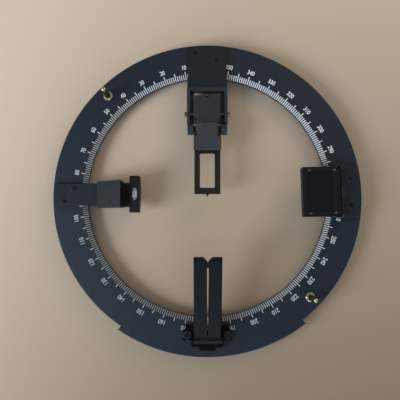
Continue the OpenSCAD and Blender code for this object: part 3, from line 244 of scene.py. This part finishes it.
def coated_metal(
    name,
    colour,
    edge_wear_and_highlight_colour,
    roughness=0.5,
    metallic=0.3,
    lines="BANDS",
    along="X",
    pitch=CUTTER_PITCH,
    edge_wear_and_highlight=0.75,
    shine=0.4,
):
    """Metal under a thin dark skin: satin over the tool's lines, paler along the edges where it
    is rubbed and, on some finishes, as a painted highlight.
    """
    material, tree, shader, place = new_material(name)
    cloud = add(
        tree,
        "ShaderNodeTexNoise",
        {"Vector": place, "Scale": 1 / CLOUD, "Detail": 3.0},
    ).outputs["Fac"]
    grain = add(
        tree,
        "ShaderNodeTexNoise",
        {"Vector": place, "Scale": 1 / GRAIN, "Detail": 2.0},
    ).outputs["Fac"]
    cutter = add(
        tree,
        "ShaderNodeTexWave",
        {"Vector": place, "Scale": wave_scale(pitch), "Distortion": 0.6, "Detail": 1.0},
        wave_type=lines,
        **({"bands_direction": along} if lines == "BANDS" else {"rings_direction": "Z"}),
    )
    skin = add(
        tree,
        "ShaderNodeMix",
        {
            "Factor_Float": cloud,
            "A_Color": tone(colour),
            "B_Color": tone(scaled(colour, CLOUD_PALER)),
        },
        data_type="RGBA",
    )
    # A scratch is noise drawn out along its length, of which only the peaks show.
    drawn_out = add(
        tree,
        "ShaderNodeMapping",
        {
            "Vector": place,
            "Rotation": (0.0, 0.0, HAIR_SLANT),
            "Scale": (1 / HAIR_WIDTH, 1 / HAIR_LENGTH, 1 / HAIR_LENGTH),
        },
    )
    hair = add(
        tree,
        "ShaderNodeTexNoise",
        {"Vector": drawn_out.outputs["Vector"], "Scale": 1.0, "Detail": 2.0},
    )
    scratch = add(
        tree,
        "ShaderNodeMapRange",
        {
            "Value": hair.outputs["Fac"],
            "From Min": HAIR_PEAKS[0],
            "From Max": HAIR_PEAKS[1],
            "To Max": HAIR_COVERS,
        },
    )
    # An edge is where the rounded normal turns away from the true face.
    rounded = add(tree, "ShaderNodeBevel", {"Radius": EDGE_ROUND}, samples=6).outputs["Normal"]
    true_face = add(tree, "ShaderNodeNewGeometry").outputs["Normal"]
    turned_by = add(
        tree,
        "ShaderNodeVectorMath",
        {"Vector": rounded, "Vector_001": true_face},
        operation="DOT_PRODUCT",
    )
    edge = add(
        tree,
        "ShaderNodeMapRange",
        {
            "Value": turned_by.outputs["Value"],
            "From Min": EDGE_PALING_SPAN[0],
            "From Max": EDGE_PALING_SPAN[1],
            "To Max": edge_wear_and_highlight,
        },
    )
    patchy = add(
        tree,
        "ShaderNodeMapRange",
        {
            "Value": cloud,
            "From Min": RUBBED_PATCHES[0],
            "From Max": RUBBED_PATCHES[1],
            "To Min": RUBBED_LEAST,
        },
    )
    patchy_edge_paling = add(
        tree,
        "ShaderNodeMath",
        {"Value": edge.outputs["Result"], "Value_001": patchy.outputs["Result"]},
        operation="MULTIPLY",
    )
    edge_or_scratch_paling = add(
        tree,
        "ShaderNodeMath",
        {"Value": patchy_edge_paling.outputs[0], "Value_001": scratch.outputs["Result"]},
        operation="MAXIMUM",
    )
    coloured = add(
        tree,
        "ShaderNodeMix",
        {
            "Factor_Float": edge_or_scratch_paling.outputs[0],
            "A_Color": skin.outputs[2],
            "B_Color": tone(edge_wear_and_highlight_colour),
        },
        data_type="RGBA",
    )
    gloss = add(
        tree,
        "ShaderNodeMapRange",
        {
            "Value": grain,
            "To Min": roughness + GRAIN_DULLS[0],
            "To Max": roughness + GRAIN_DULLS[1],
        },
    )
    tooled = add(
        tree,
        "ShaderNodeBump",
        {
            "Height": cutter.outputs["Fac"],
            "Normal": rounded,
            "Strength": CUTTER_RELIEF,
            "Distance": MARK_DEPTH,
        },
    )
    etched = add(
        tree,
        "ShaderNodeBump",
        {
            "Height": grain,
            "Normal": tooled.outputs["Normal"],
            "Strength": GRAIN_RELIEF,
            "Distance": MARK_DEPTH,
        },
    )
    tree.links.new(coloured.outputs[2], shader.inputs["Base Color"])
    tree.links.new(gloss.outputs["Result"], shader.inputs["Roughness"])
    tree.links.new(etched.outputs["Normal"], shader.inputs["Normal"])
    shader.inputs["Metallic"].default_value = metallic
    shader.inputs["Specular IOR Level"].default_value = shine
    return material


def turned_metal(name, colour, roughness, pitch=SCREW_PITCH):
    """Bare metal from the lathe: bright, with fine lines level round it and faint stains."""
    material, tree, shader, place = new_material(name)
    lines = add(
        tree,
        "ShaderNodeTexWave",
        {"Vector": place, "Scale": wave_scale(pitch), "Distortion": 0.4},
        bands_direction="Z",
    )
    stain = add(
        tree,
        "ShaderNodeTexNoise",
        {"Vector": place, "Scale": 1 / STAIN, "Detail": 3.0},
    ).outputs["Fac"]
    coloured = add(
        tree,
        "ShaderNodeMix",
        {
            "Factor_Float": stain,
            "A_Color": tone(colour),
            "B_Color": tone(scaled(colour, STAIN_DARKER)),
        },
        data_type="RGBA",
    )
    gloss = add(
        tree,
        "ShaderNodeMapRange",
        {
            "Value": stain,
            "To Min": roughness + STAIN_DULLS[0],
            "To Max": roughness + STAIN_DULLS[1],
        },
    )
    rounded = add(tree, "ShaderNodeBevel", {"Radius": BARE_EDGE_ROUND}, samples=4)
    ridged = add(
        tree,
        "ShaderNodeBump",
        {
            "Height": lines.outputs["Fac"],
            "Normal": rounded.outputs["Normal"],
            "Strength": LATHE_RELIEF,
            "Distance": MARK_DEPTH,
        },
    )
    tree.links.new(coloured.outputs[2], shader.inputs["Base Color"])
    tree.links.new(gloss.outputs["Result"], shader.inputs["Roughness"])
    tree.links.new(ridged.outputs["Normal"], shader.inputs["Normal"])
    shader.inputs["Metallic"].default_value = 1.0
    return material


def glass(name, colour, roughness, ior=1.5, transmission=0.0, metallic=0.0, cover=1.0):
    """Polished glass or liquid, with the faint haze that handling leaves on it."""
    material, tree, shader, place = new_material(name)
    haze = add(tree, "ShaderNodeTexNoise", {"Vector": place, "Scale": 1 / HAZE, "Detail": 4.0})
    gloss = add(
        tree,
        "ShaderNodeMapRange",
        {
            "Value": haze.outputs["Fac"],
            "To Min": roughness,
            "To Max": roughness + HAZE_DULLS,
        },
    )
    tree.links.new(gloss.outputs["Result"], shader.inputs["Roughness"])
    shader.inputs["Base Color"].default_value = tone(colour)
    shader.inputs["IOR"].default_value = ior
    shader.inputs["Transmission Weight"].default_value = transmission
    shader.inputs["Metallic"].default_value = metallic
    shader.inputs["Alpha"].default_value = cover
    return material


def white_filling():
    """White enamel wiped into the engraving: chalky and specked, with painted shade that greys it
    towards the ring's lower left, lightest beside the sight frame.
    """
    material, tree, shader, place = new_material("white_enamel_filling")
    towards_lit_filling = add(
        tree,
        "ShaderNodeVectorMath",
        {"Vector": place, "Vector_001": FILLING_LIT_TOWARDS},
        operation="DOT_PRODUCT",
    )
    filling_lit = add(
        tree,
        "ShaderNodeMapRange",
        {
            "Value": towards_lit_filling.outputs["Value"],
            "From Min": FILLING_SHADED_AT,
            "From Max": FILLING_LIT_AT,
        },
    )
    # Painted shade: the filling mixes from a shaded grey to its white.
    filling_shaded = add(
        tree,
        "ShaderNodeMix",
        {
            "Factor_Float": filling_lit.outputs["Result"],
            "A_Color": tone("#9fa6a6"),
            "B_Color": tone("#f6faf9"),
        },
        data_type="RGBA",
    )
    uneven = add(
        tree,
        "ShaderNodeTexNoise",
        {"Vector": place, "Scale": 1 / SPECK, "Detail": 3.0},
    )
    speck = add(
        tree,
        "ShaderNodeMapRange",
        {
            "Value": uneven.outputs["Fac"],
            "From Min": SPECK_PEAKS[0],
            "From Max": SPECK_PEAKS[1],
            "To Max": SPECK_COVERS,
        },
    )
    coloured = add(
        tree,
        "ShaderNodeMix",
        {
            "Factor_Float": speck.outputs["Result"],
            "A_Color": filling_shaded.outputs[2],
            "B_Color": tone("#aab2b2"),
        },
        data_type="RGBA",
    )
    tree.links.new(coloured.outputs[2], shader.inputs["Base Color"])
    shader.inputs["Roughness"].default_value = FILLING_ROUGHNESS
    return material


# The ring is turned on a faceplate, so its lines are circles and its blue-black sheen runs round.
RING_BLUE = coated_metal(
    "turned_anodised_aluminium_blue", "#17212d", "#5c6873", 0.5, 0.25, "RINGS",
    pitch=FACEPLATE_PITCH,
)
# The foresight plate is milled flat: straight lines, and a black that is less blue.
PLATE_BLACK = coated_metal(
    "milled_anodised_aluminium_black", "#11161c", "#4a525b", 0.52, 0.25
)
# The side plates share the ring's hue. Their pale edge lines are partly rubbed wear and partly a
# painted highlight where the edges catch the light.
PLATE_BLUE = coated_metal(
    "milled_anodised_aluminium_blue", "#101821", "#7d8c99", 0.52, 0.25, edge_wear_and_highlight=1.0
)
# Sawn sides are a touch duller than milled ones, and their lines run the other way.
BRACKET_BLACK = coated_metal(
    "sawn_anodised_aluminium_black", "#121418", "#4b535b", 0.55, 0.25, along="Y"
)
# Glass bead blasting spreads the light into a soft, even grey over what is left of the lines.
BLASTED_GREY = coated_metal(
    "blasted_anodised_aluminium_grey", "#28282b", "#6e7072", 0.58, 0.2, edge_wear_and_highlight=0.6
)
# The black mirror's holder is blasted too, and its grey is a shade paler.
PALE_GREY = coated_metal(
    "blasted_anodised_aluminium_pale_grey", "#343436", "#7c7e80", 0.58, 0.2, edge_wear_and_highlight=0.6
)
# The brackets are smoother, so that their round barrels catch a cool highlight. Their grey is
# painted lighter as painted light in the shaded neck under the level, and their pale edges are
# partly a painted highlight.
CHEEK_GREY = coated_metal(
    "sawn_anodised_aluminium_grey", "#2b2f33", "#8b949d", 0.42, 0.4, along="Y", edge_wear_and_highlight=1.0
)
# The prism housing's lid is duller than the plate round it.
LID_BLUE = coated_metal(
    "milled_anodised_aluminium_slate", "#11161c", "#4b5763", 0.62, 0.2
)
# The vane's base is painted a near black that hardly shines, as painted shade under and beside
# the raised vane, so that the vane stands out above it.
BASE_BLACK = coated_metal(
    "milled_anodised_aluminium_shade_black", "#030405", "#24292f", 0.62, 0.1, shine=0.08
)
# Black paint hides the metal, and has a brown cast and little shine.
FRAME_BLACK = coated_metal(
    "black_painted_aluminium", "#1a1710", "#38352d", 0.62, 0.0,
    along="Y", edge_wear_and_highlight=0.5, shine=0.2,
)
# The vane's long faces are a midnight blue, with lines across them.
VANE_BLUE = coated_metal(
    "milled_anodised_aluminium_midnight", "#0a0d13", "#353d49", 0.5, 0.2,
    along="Y", shine=0.2,
)
# The level's case is a warmer black than the plates beside it, and its lines run round it.
LEVEL_BLACK = coated_metal(
    "turned_anodised_aluminium_jet", "#111012", "#3b3a3d", 0.52, 0.2,
    along="Y", shine=0.3,
)
# Stoved enamel is smooth and takes a sharper shine than the anodised parts.
MIRROR_BLACK = coated_metal(
    "stoved_black_enamel_on_brass", "#06080b", "#1e242a", 0.34, 0.0, edge_wear_and_highlight=0.5, shine=0.2
)
# On the mirror's case it lies over a casting: a touch duller, and worn grey at the edges.
CASE_BLACK = coated_metal(
    "stoved_black_enamel_on_casting", "#080c11", "#333c45", 0.4, 0.0, edge_wear_and_highlight=0.8, shine=0.25
)
# Hot oxide leaves screw heads nearly the ring's colour, with a rim that a driver has rubbed.
BLACK_STEEL = coated_metal(
    "black_oxide_steel", "#151a20", "#77808a", 0.42, 0.4, along="Z", pitch=SCREW_PITCH
)
# Baked ink is flat black, and its thin lines have no edge to wear.
MARK_INK = coated_metal("baked_black_ink", "#101214", "#2a2c2e", 0.6, 0.0, edge_wear_and_highlight=0.0)
# Clear lacquer keeps the knobs' turned brass pale and bright.
BRASS = turned_metal("turned_lacquered_brass", "#c9c1a4", 0.2, KNOB_PITCH)
# Stainless wire glints. Zinc is a duller mid grey, and phosphate nearly black.
STEEL = turned_metal("turned_stainless_steel", "#9a9ea2", 0.28)
CLIP_STEEL = turned_metal("zinc_plated_steel", "#6f757a", 0.35)
DULL_STEEL = turned_metal("phosphated_steel", "#34363a", 0.45)
# The prisms are clear crown glass with a faint green cast.
CLEAR_GLASS = glass("polished_optical_glass", "#dfe9e8", 0.01, 1.52, transmission=1.0)
# Black glass reflects faintly from its front only, and silvered glass like a mirror.
BLACK_GLASS = glass("polished_black_glass", "#08090b", 0.02, 1.52)
SILVERED = glass("silvered_glass", "#d7dde0", 0.02, metallic=1.0)
# The spirit shows the white backing behind it, so it is drawn pale and doesn't pass light.
SPIRIT = glass("spirit_before_white_backing", "#f6fbff", 0.12, 1.36)
# The vial's thin wall only adds a glint, so it covers little of what lies behind it.
VIAL_GLASS = glass("drawn_glass_tube", "#e8f0f0", 0.02, cover=0.1)
# One white enamel fills the scale and backs the level's vial, so both are the same dull white.
WHITE = white_filling()

DRESS = {
    "ring": RING_BLUE,
    "turning_knob_left": BRASS,
    "turning_knob_right": BRASS,
    "foresight_plate": PLATE_BLACK,
    "foresight_plate_screws": BLACK_STEEL,
    "foresight_bracket": CHEEK_GREY,
    "foresight_bracket_screws": BLACK_STEEL,
    "reading_prism": CLEAR_GLASS,
    "reading_prism_case": BRACKET_BLACK,
    "reading_prism_cover": BLASTED_GREY,
    "reading_prism_cover_screws": BLACK_STEEL,
    "reading_prism_clamp_screws": CLIP_STEEL,
    "sight_frame": FRAME_BLACK,
    "sight_frame_pivots": DULL_STEEL,
    "sight_frame_washers": DULL_STEEL,
    "sight_wire": STEEL,
    "sight_wire_screws": BLACK_STEEL,
    "black_mirror_holder": PALE_GREY,
    "black_mirror_glass": BLACK_GLASS,
    "black_mirror_pivot_screws": DULL_STEEL,
    "eye_vane": VANE_BLUE,
    "eye_vane_base": BASE_BLACK,
    "eye_vane_base_screws": BLACK_STEEL,
    "eye_vane_pin": DULL_STEEL,
    "eye_vane_washers": DULL_STEEL,
    "level_plate": PLATE_BLUE,
    "level_plate_screws": BLACK_STEEL,
    "sun_prism_housing": PLATE_BLUE,
    "sun_prism_housing_screws": BLACK_STEEL,
    "sun_prism_lid": LID_BLUE,
    "sun_prism_lid_screws": BLACK_STEEL,
    "sun_prism": CLEAR_GLASS,
    # The level's bracket takes the lighter grey as painted light in its shaded neck.
    "level_bracket": CHEEK_GREY,
    "level_bracket_screws": BLACK_STEEL,
    "level_case": LEVEL_BLACK,
    "level_case_screws": BLACK_STEEL,
    "level_vial": VIAL_GLASS,
    "level_spirit": SPIRIT,
    "level_end_caps": LEVEL_BLACK,
    "sun_mirror_base": PLATE_BLUE,
    "sun_mirror_base_screws": BLACK_STEEL,
    "sun_mirror_case": CASE_BLACK,
    "sun_mirror_back_panel": MIRROR_BLACK,
    "sun_mirror_glass": SILVERED,
    "sun_mirror_clips": CLIP_STEEL,
    "sun_mirror_hinge_pin": DULL_STEEL,
}


def dress_nodes():
    """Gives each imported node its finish."""
    for name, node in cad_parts.items():
        node.data.materials.clear()
        node.data.materials.append(DRESS[name])


# The ring's sloping inner edge, which the solids leave square.
RING_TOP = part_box("foresight_plate")[0].z
SLOPE_INNER_R = 93.4 * MM
SLOPE_OUTER_R = 97.3 * MM
SLOPE_DEPTH = 2.4 * MM
SLOPE_WIDTH = SLOPE_OUTER_R - SLOPE_INNER_R
# The cutter reaches past both ends of the slope by this share of it.
OVERCUT = 0.2
CUTTER_STEPS = 720
# The ring's faces meet in an edge from this angle, and a face this level is flat.
EDGE_ANGLE = math.radians(25)
LEVEL_FACE = 0.9
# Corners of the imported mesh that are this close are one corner.
RING_MERGE = 0.001 * MM


def turned_mesh(name, profile, steps):
    """A closed solid turned round the Z axis from a profile of radii and heights."""
    shape = bmesh.new()
    rings = []
    for step in range(steps):
        turn = 2 * math.pi * step / steps
        rings.append(
            [
                shape.verts.new((r * math.cos(turn), r * math.sin(turn), z))
                for r, z in profile
            ]
        )
    for ring, following in zip(rings, rings[1:] + rings[:1]):
        join_rows(shape, ring, following)
    return finished_mesh(name, shape)


def make_bevelled_ring():
    """The ring with the sloping edge that carries the scale, cut from a copy of its node."""
    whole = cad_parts["ring"].data.copy()
    shape = bmesh.new()
    shape.from_mesh(whole)
    bmesh.ops.remove_doubles(shape, verts=shape.verts, dist=RING_MERGE)
    shape.to_mesh(whole)
    shape.free()
    past = OVERCUT * SLOPE_WIDTH
    low = (SLOPE_INNER_R - past, RING_TOP - (1 + OVERCUT) * SLOPE_DEPTH)
    high = (SLOPE_OUTER_R + past, RING_TOP + OVERCUT * SLOPE_DEPTH)
    wedge = turned_mesh("slope_cutter", [low, high, (low[0], high[1])], CUTTER_STEPS)
    cutter = bpy.data.objects.new("slope_cutter", wedge)
    holder = bpy.data.objects.new("ring_copy", whole)
    for item in (cutter, holder):
        bpy.context.collection.objects.link(item)
    cut = holder.modifiers.new("slope", "BOOLEAN")
    cut.operation = "DIFFERENCE"
    cut.solver = "EXACT"
    cut.object = cutter
    mesh = plain_mesh(holder)
    bpy.data.objects.remove(cutter)
    mesh.shade_smooth()
    mesh.set_sharp_from_angle(angle=EDGE_ANGLE)
    for face in mesh.polygons:
        face.use_smooth = abs(face.normal.z) < LEVEL_FACE
    ring = new_piece("graduated_ring", mesh, RING_BLUE)
    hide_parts("ring")


# The scale: white filling that stands just proud of the metal, so that it shows.
PRINT_SUNK = 0.03 * MM
PRINT_PROUD = 0.04 * MM
PRINT_HEIGHT = PRINT_SUNK + PRINT_PROUD
PRINT_LIFT = (PRINT_PROUD - PRINT_SUNK) / 2
# The whole scale is set a little counter-clockwise of the sight line.
SCALE_TURN = math.radians(0.2)
TICK_WIDTH = 0.6 * MM
TICK_INNER_R = SLOPE_INNER_R + 0.3 * MM
TICK_OUTER_R = SLOPE_OUTER_R - 0.05 * MM
LONG_TICK_INNER_R = SLOPE_OUTER_R - 0.1 * MM
LONG_TICK_OUTER_R = 99.6 * MM
# Degrees of the scale that the two plates hide on either side of their middles.
NORTH_PLATE_COVERS = 8.5
WEST_PLATE_COVERS = 4.5


def build_ticks(tree, given):
    """A bar for every degree on the slope, and a longer reach on the flat for every fifth."""
    circle = add(
        tree,
        "GeometryNodeMeshCircle",
        {"Vertices": given["Degrees"], "Radius": given["Circle radius"]},
    ).outputs[0]
    index = add(tree, "GeometryNodeInputIndex").outputs[0]
    outward = add(
        tree,
        "FunctionNodeAlignRotationToVector",
        {"Vector": add(tree, "GeometryNodeInputPosition").outputs[0]},
        axis="X",
        pivot_axis="Z",
    ).outputs[0]
    # Ticks under the plates are left out. Point 0 lies on +X, and they go counter-clockwise.
    clear = None
    for label, middle in (("North plate covers", 90.0), ("West plate covers", 180.0)):
        off = add(
            tree,
            "ShaderNodeMath",
            {"Value": index, "Value_001": middle},
            operation="SUBTRACT",
        )
        off = add(tree, "ShaderNodeMath", {"Value": off.outputs[0]}, operation="ABSOLUTE")
        past = add(
            tree,
            "FunctionNodeCompare",
            {"A": off.outputs[0], "B": given[label]},
            data_type="FLOAT",
            operation="GREATER_THAN",
        ).outputs[0]
        if clear is not None:
            past = add(
                tree,
                "FunctionNodeBooleanMath",
                {"Boolean": clear, "Boolean_001": past},
                operation="AND",
            ).outputs[0]
        clear = past
    over_fifth = add(
        tree,
        "ShaderNodeMath",
        {"Value": index, "Value_001": 5.0},
        operation="MODULO",
    )
    is_fifth = add(
        tree,
        "FunctionNodeCompare",
        {"A": over_fifth.outputs[0], "B": 0.5},
        data_type="FLOAT",
        operation="LESS_THAN",
    )
    is_long = add(
        tree,
        "FunctionNodeBooleanMath",
        {"Boolean": clear, "Boolean_001": is_fifth.outputs[0]},
        operation="AND",
    ).outputs[0]
    joined = add(tree, "GeometryNodeJoinGeometry")
    for kind, chosen in (("Slope", clear), ("Flat", is_long)):
        size = add(
            tree,
            "ShaderNodeCombineXYZ",
            {
                "X": given[f"{kind} length"],
                "Y": given["Tick width"],
                "Z": given["Tick height"],
            },
        )
        place = add(
            tree,
            "ShaderNodeCombineXYZ",
            {"X": given[f"{kind} middle"], "Z": given[f"{kind} rise"]},
        )
        tilt = add(tree, "ShaderNodeCombineXYZ", {"Y": given[f"{kind} tilt"]})
        bar = add(tree, "GeometryNodeMeshCube", {"Size": size.outputs[0]})
        bar = add(
            tree,
            "GeometryNodeTransform",
            {
                "Geometry": bar.outputs["Mesh"],
                "Translation": place.outputs[0],
                "Rotation": tilt.outputs[0],
            },
        )
        bars = add(
            tree,
            "GeometryNodeInstanceOnPoints",
            {
                "Points": circle,
                "Selection": chosen,
                "Instance": bar.outputs[0],
                "Rotation": outward,
            },
        )
        tree.links.new(bars.outputs[0], joined.inputs[0])
    return joined.outputs[0]


def make_ticks():
    """The scale's ticks, grown at height 0 and then lifted and turned to their place."""
    tilt = math.atan2(SLOPE_DEPTH, SLOPE_WIDTH)
    middle = (TICK_INNER_R + TICK_OUTER_R) / 2
    fall = (SLOPE_OUTER_R - middle) * math.tan(tilt)
    mesh = grown_mesh(
        "scale_ticks",
        {
            "Degrees": 360,
            "Circle radius": middle,
            "Tick width": TICK_WIDTH,
            "Tick height": PRINT_HEIGHT,
            "Slope length": (TICK_OUTER_R - TICK_INNER_R) / math.cos(tilt),
            "Slope middle": -PRINT_LIFT * math.sin(tilt),
            "Slope rise": PRINT_LIFT * math.cos(tilt) - fall,
            "Slope tilt": -tilt,
            "Flat length": LONG_TICK_OUTER_R - LONG_TICK_INNER_R,
            "Flat middle": (LONG_TICK_INNER_R + LONG_TICK_OUTER_R) / 2 - middle,
            "Flat rise": PRINT_LIFT,
            "Flat tilt": 0.0,
            "North plate covers": NORTH_PLATE_COVERS,
            "West plate covers": WEST_PLATE_COVERS,
        },
        build_ticks,
        WHITE,
    )
    to_place = Matrix.Translation((0, 0, RING_TOP)) @ Matrix.Rotation(SCALE_TURN, 4, "Z")
    mesh.transform(to_place)
    new_piece("scale_ticks", mesh, WHITE)


NUMBER_R = 103.1 * MM
NUMBER_H = 3.6 * MM
NUMBER_NARROW = 0.8
# Thickens the strokes, in parts of the letter size.
NUMBER_STROKE = 0.015
NUMBER_CURVE_STEPS = 4
# Corners of a digit's front and sides that are this close are one corner.
NUMBER_MERGE = 0.002 * MM
# The level's arm lies over this one.
COVERED_NUMBERS = (90,)


def number_mesh(degree):
    """One number of the scale, in its place on the ring."""
    text = bpy.data.curves.new("number", "FONT")
    text.body = str(degree)
    text.align_x = "CENTER"
    text.extrude = 0.5 * PRINT_HEIGHT
    text.offset = NUMBER_STROKE
    text.resolution_u = NUMBER_CURVE_STEPS
    holder = bpy.data.objects.new("number", text)
    bpy.context.collection.objects.link(holder)
    mesh = plain_mesh(holder)
    across = [v.co.x for v in mesh.vertices]
    upright = [v.co.y for v in mesh.vertices]
    middle_x = (min(across) + max(across)) / 2
    middle_y = (min(upright) + max(upright)) / 2
    scale = NUMBER_H / (max(upright) - min(upright))
    mesh.transform(
        Matrix.Rotation(math.radians(degree) + SCALE_TURN, 4, "Z")
        @ Matrix.Translation((0, NUMBER_R, RING_TOP + PRINT_LIFT))
        @ Matrix.Diagonal((scale * NUMBER_NARROW, scale, 1, 1))
        @ Matrix.Translation((-middle_x, -middle_y, 0))
    )
    return mesh


def make_numbers():
    """Every tenth degree, counter-clockwise from the sight frame, tops outwards."""
    whole = bmesh.new()
    for degree in range(10, 360, 10):
        if degree in COVERED_NUMBERS:
            continue
        mesh = number_mesh(degree)
        whole.from_mesh(mesh)
        bpy.data.meshes.remove(mesh)
    bmesh.ops.remove_doubles(whole, verts=whole.verts, dist=NUMBER_MERGE)
    new_piece("scale_numbers", finished_mesh("scale_numbers", whole), WHITE)


# The spirit level's white backing, and the two marks that its bubble lies between.
# Each goes round the vial between two angles, in degrees from +X.
BAND_STEPS = 48
BACKING_TURNS = (180, 360)
BACKING_FROM_ENDS = 2 * MM
BACKING_GAP = 0.02 * MM
BACKING_THICK = 0.05 * MM
MARK_TURNS = (20, 160)
MARK_OUT = 3.1 * MM
MARK_HALF = 0.15 * MM
MARK_GAP = 0.01 * MM
MARK_THICK = 0.03 * MM


def vial_band(name, material, gap, thick, turns, reach):
    """Part of a tube round the vial, between two angles and between two places along Y."""
    low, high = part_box("level_vial")
    middle_x = (low.x + high.x) / 2
    middle_z = (low.z + high.z) / 2
    inner = (high.z - low.z) / 2 + gap
    outer = inner + thick
    first, last = turns
    near, far = reach
    shape = bmesh.new()
    rows = []
    for step in range(BAND_STEPS + 1):
        turn = math.radians(first + (last - first) * step / BAND_STEPS)
        rows.append(
            [
                shape.verts.new(
                    (middle_x + r * math.cos(turn), y, middle_z + r * math.sin(turn))
                )
                for r, y in ((inner, near), (inner, far), (outer, far), (outer, near))
            ]
        )
    for row, following in zip(rows, rows[1:]):
        join_rows(shape, row, following)
    shape.faces.new(reversed(rows[0]))
    shape.faces.new(rows[-1])
    new_piece(name, finished_mesh(name, shape), material)


def make_vial_details():
    """The backing lies under the vial's lower half, and the marks over its upper half."""
    low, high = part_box("level_vial")
    middle = (low.y + high.y) / 2
    vial_band(
        "level_backing",
        WHITE,
        BACKING_GAP,
        BACKING_THICK,
        BACKING_TURNS,
        (low.y + BACKING_FROM_ENDS, high.y - BACKING_FROM_ENDS),
    )
    for side, label in ((-1, "south"), (1, "north")):
        mark = middle + side * MARK_OUT
        vial_band(
            f"level_mark_{label}",
            MARK_INK,
            MARK_GAP,
            MARK_THICK,
            MARK_TURNS,
            (mark - MARK_HALF, mark + MARK_HALF),
        )


# Floor and light.
FLOOR_HALF = 1.5
FLOOR_ROUGHNESS = 0.8
# Painted light: the card's colour goes from dull to pale along this direction, and also away from
# the middle, in place of lamplight falling off from the far left.
LIGHT_FALLOFF_TOWARDS = (-0.4, 1.08, 0.0)
LIGHT_FALLOFF_SIDES = 1.6
LIGHT_FALLOFF_FROM = -0.2
LIGHT_FALLOFF_FULL = 0.27


def make_floor():
    """A big sheet of plain card, painted paler towards the far left and a little towards both
    sides as painted light.
    """
    material, tree, shader, place = new_material("card_with_painted_light")
    along = add(
        tree,
        "ShaderNodeVectorMath",
        {"Vector": place, "Vector_001": LIGHT_FALLOFF_TOWARDS},
        operation="DOT_PRODUCT",
    )
    across = add(tree, "ShaderNodeSeparateXYZ", {"Vector": place}).outputs["X"]
    squared = add(
        tree,
        "ShaderNodeMath",
        {"Value": across, "Value_001": across},
        operation="MULTIPLY",
    )
    towards_painted_light = add(
        tree,
        "ShaderNodeMath",
        {
            "Value": squared.outputs[0],
            "Value_001": LIGHT_FALLOFF_SIDES,
            "Value_002": along.outputs["Value"],
        },
        operation="MULTIPLY_ADD",
    )
    pale = add(
        tree,
        "ShaderNodeMapRange",
        {"Value": towards_painted_light.outputs[0], "From Min": LIGHT_FALLOFF_FROM, "From Max": LIGHT_FALLOFF_FULL},
    )
    # Painted light: the card mixes from its shaded tone to its lit tone.
    coloured = add(
        tree,
        "ShaderNodeMix",
        {
            "Factor_Float": pale.outputs["Result"],
            "A_Color": tone("#8f7d65"),
            "B_Color": tone("#decab5"),
        },
        data_type="RGBA",
    )
    tree.links.new(coloured.outputs[2], shader.inputs["Base Color"])
    shader.inputs["Roughness"].default_value = FLOOR_ROUGHNESS
    corners = [
        (x * FLOOR_HALF, y * FLOOR_HALF, 0) for x, y in ((-1, -1), (1, -1), (1, 1), (-1, 1))
    ]
    mesh = bpy.data.meshes.new("floor")
    mesh.from_pydata(corners, [], [(0, 1, 2, 3)])
    floor = bpy.data.objects.new("floor", mesh)
    bpy.context.collection.objects.link(floor)
    floor.data.materials.append(material)


# Each lamp's place, width in metres, watts and colour. A cool window stands at the lower left,
# the sky comes in low over the eye vane, and a warm wall throws a little light back.
LAMPS = {
    "window_left": ((-0.76, -0.32, 0.5), 0.45, 7.4, "#e8f5ff"),
    "low_sky_ahead": ((0.1, -0.8, 0.16), 0.5, 2.0, "#dfeeff"),
    "warm_fill_right": ((0.5, 0.6, 0.45), 0.4, 1.6, "#ffdfba"),
}
LAMP_UP = Vector((0, 1, 0.01))
RING_MIDDLE = Vector((0, 0, 0))
ROOM_LIGHT = "#f4fbff"
ROOM_STRENGTH = 0.42


def light_studio():
    """An even room light, with soft round lamps that all face the middle of the ring."""
    world = bpy.data.worlds.new("studio")
    bpy.context.scene.world = world
    world.use_nodes = True
    background = world.node_tree.nodes["Background"]
    background.inputs["Color"].default_value = tone(ROOM_LIGHT)
    background.inputs["Strength"].default_value = ROOM_STRENGTH
    for name, (place, width, watts, colour) in LAMPS.items():
        data = bpy.data.lights.new(name, "AREA")
        data.shape = "DISK"
        data.size = width
        data.energy = watts
        data.color = tone(colour)[:3]
        light = bpy.data.objects.new(name, data)
        light.matrix_world = facing_from(Vector(place), RING_MIDDLE, LAMP_UP)
        bpy.context.collection.objects.link(light)
    bpy.context.scene.view_settings.view_transform = "Standard"


place_camera()
dress_nodes()
make_bevelled_ring()
make_ticks()
make_numbers()
make_vial_details()
make_floor()
light_studio()
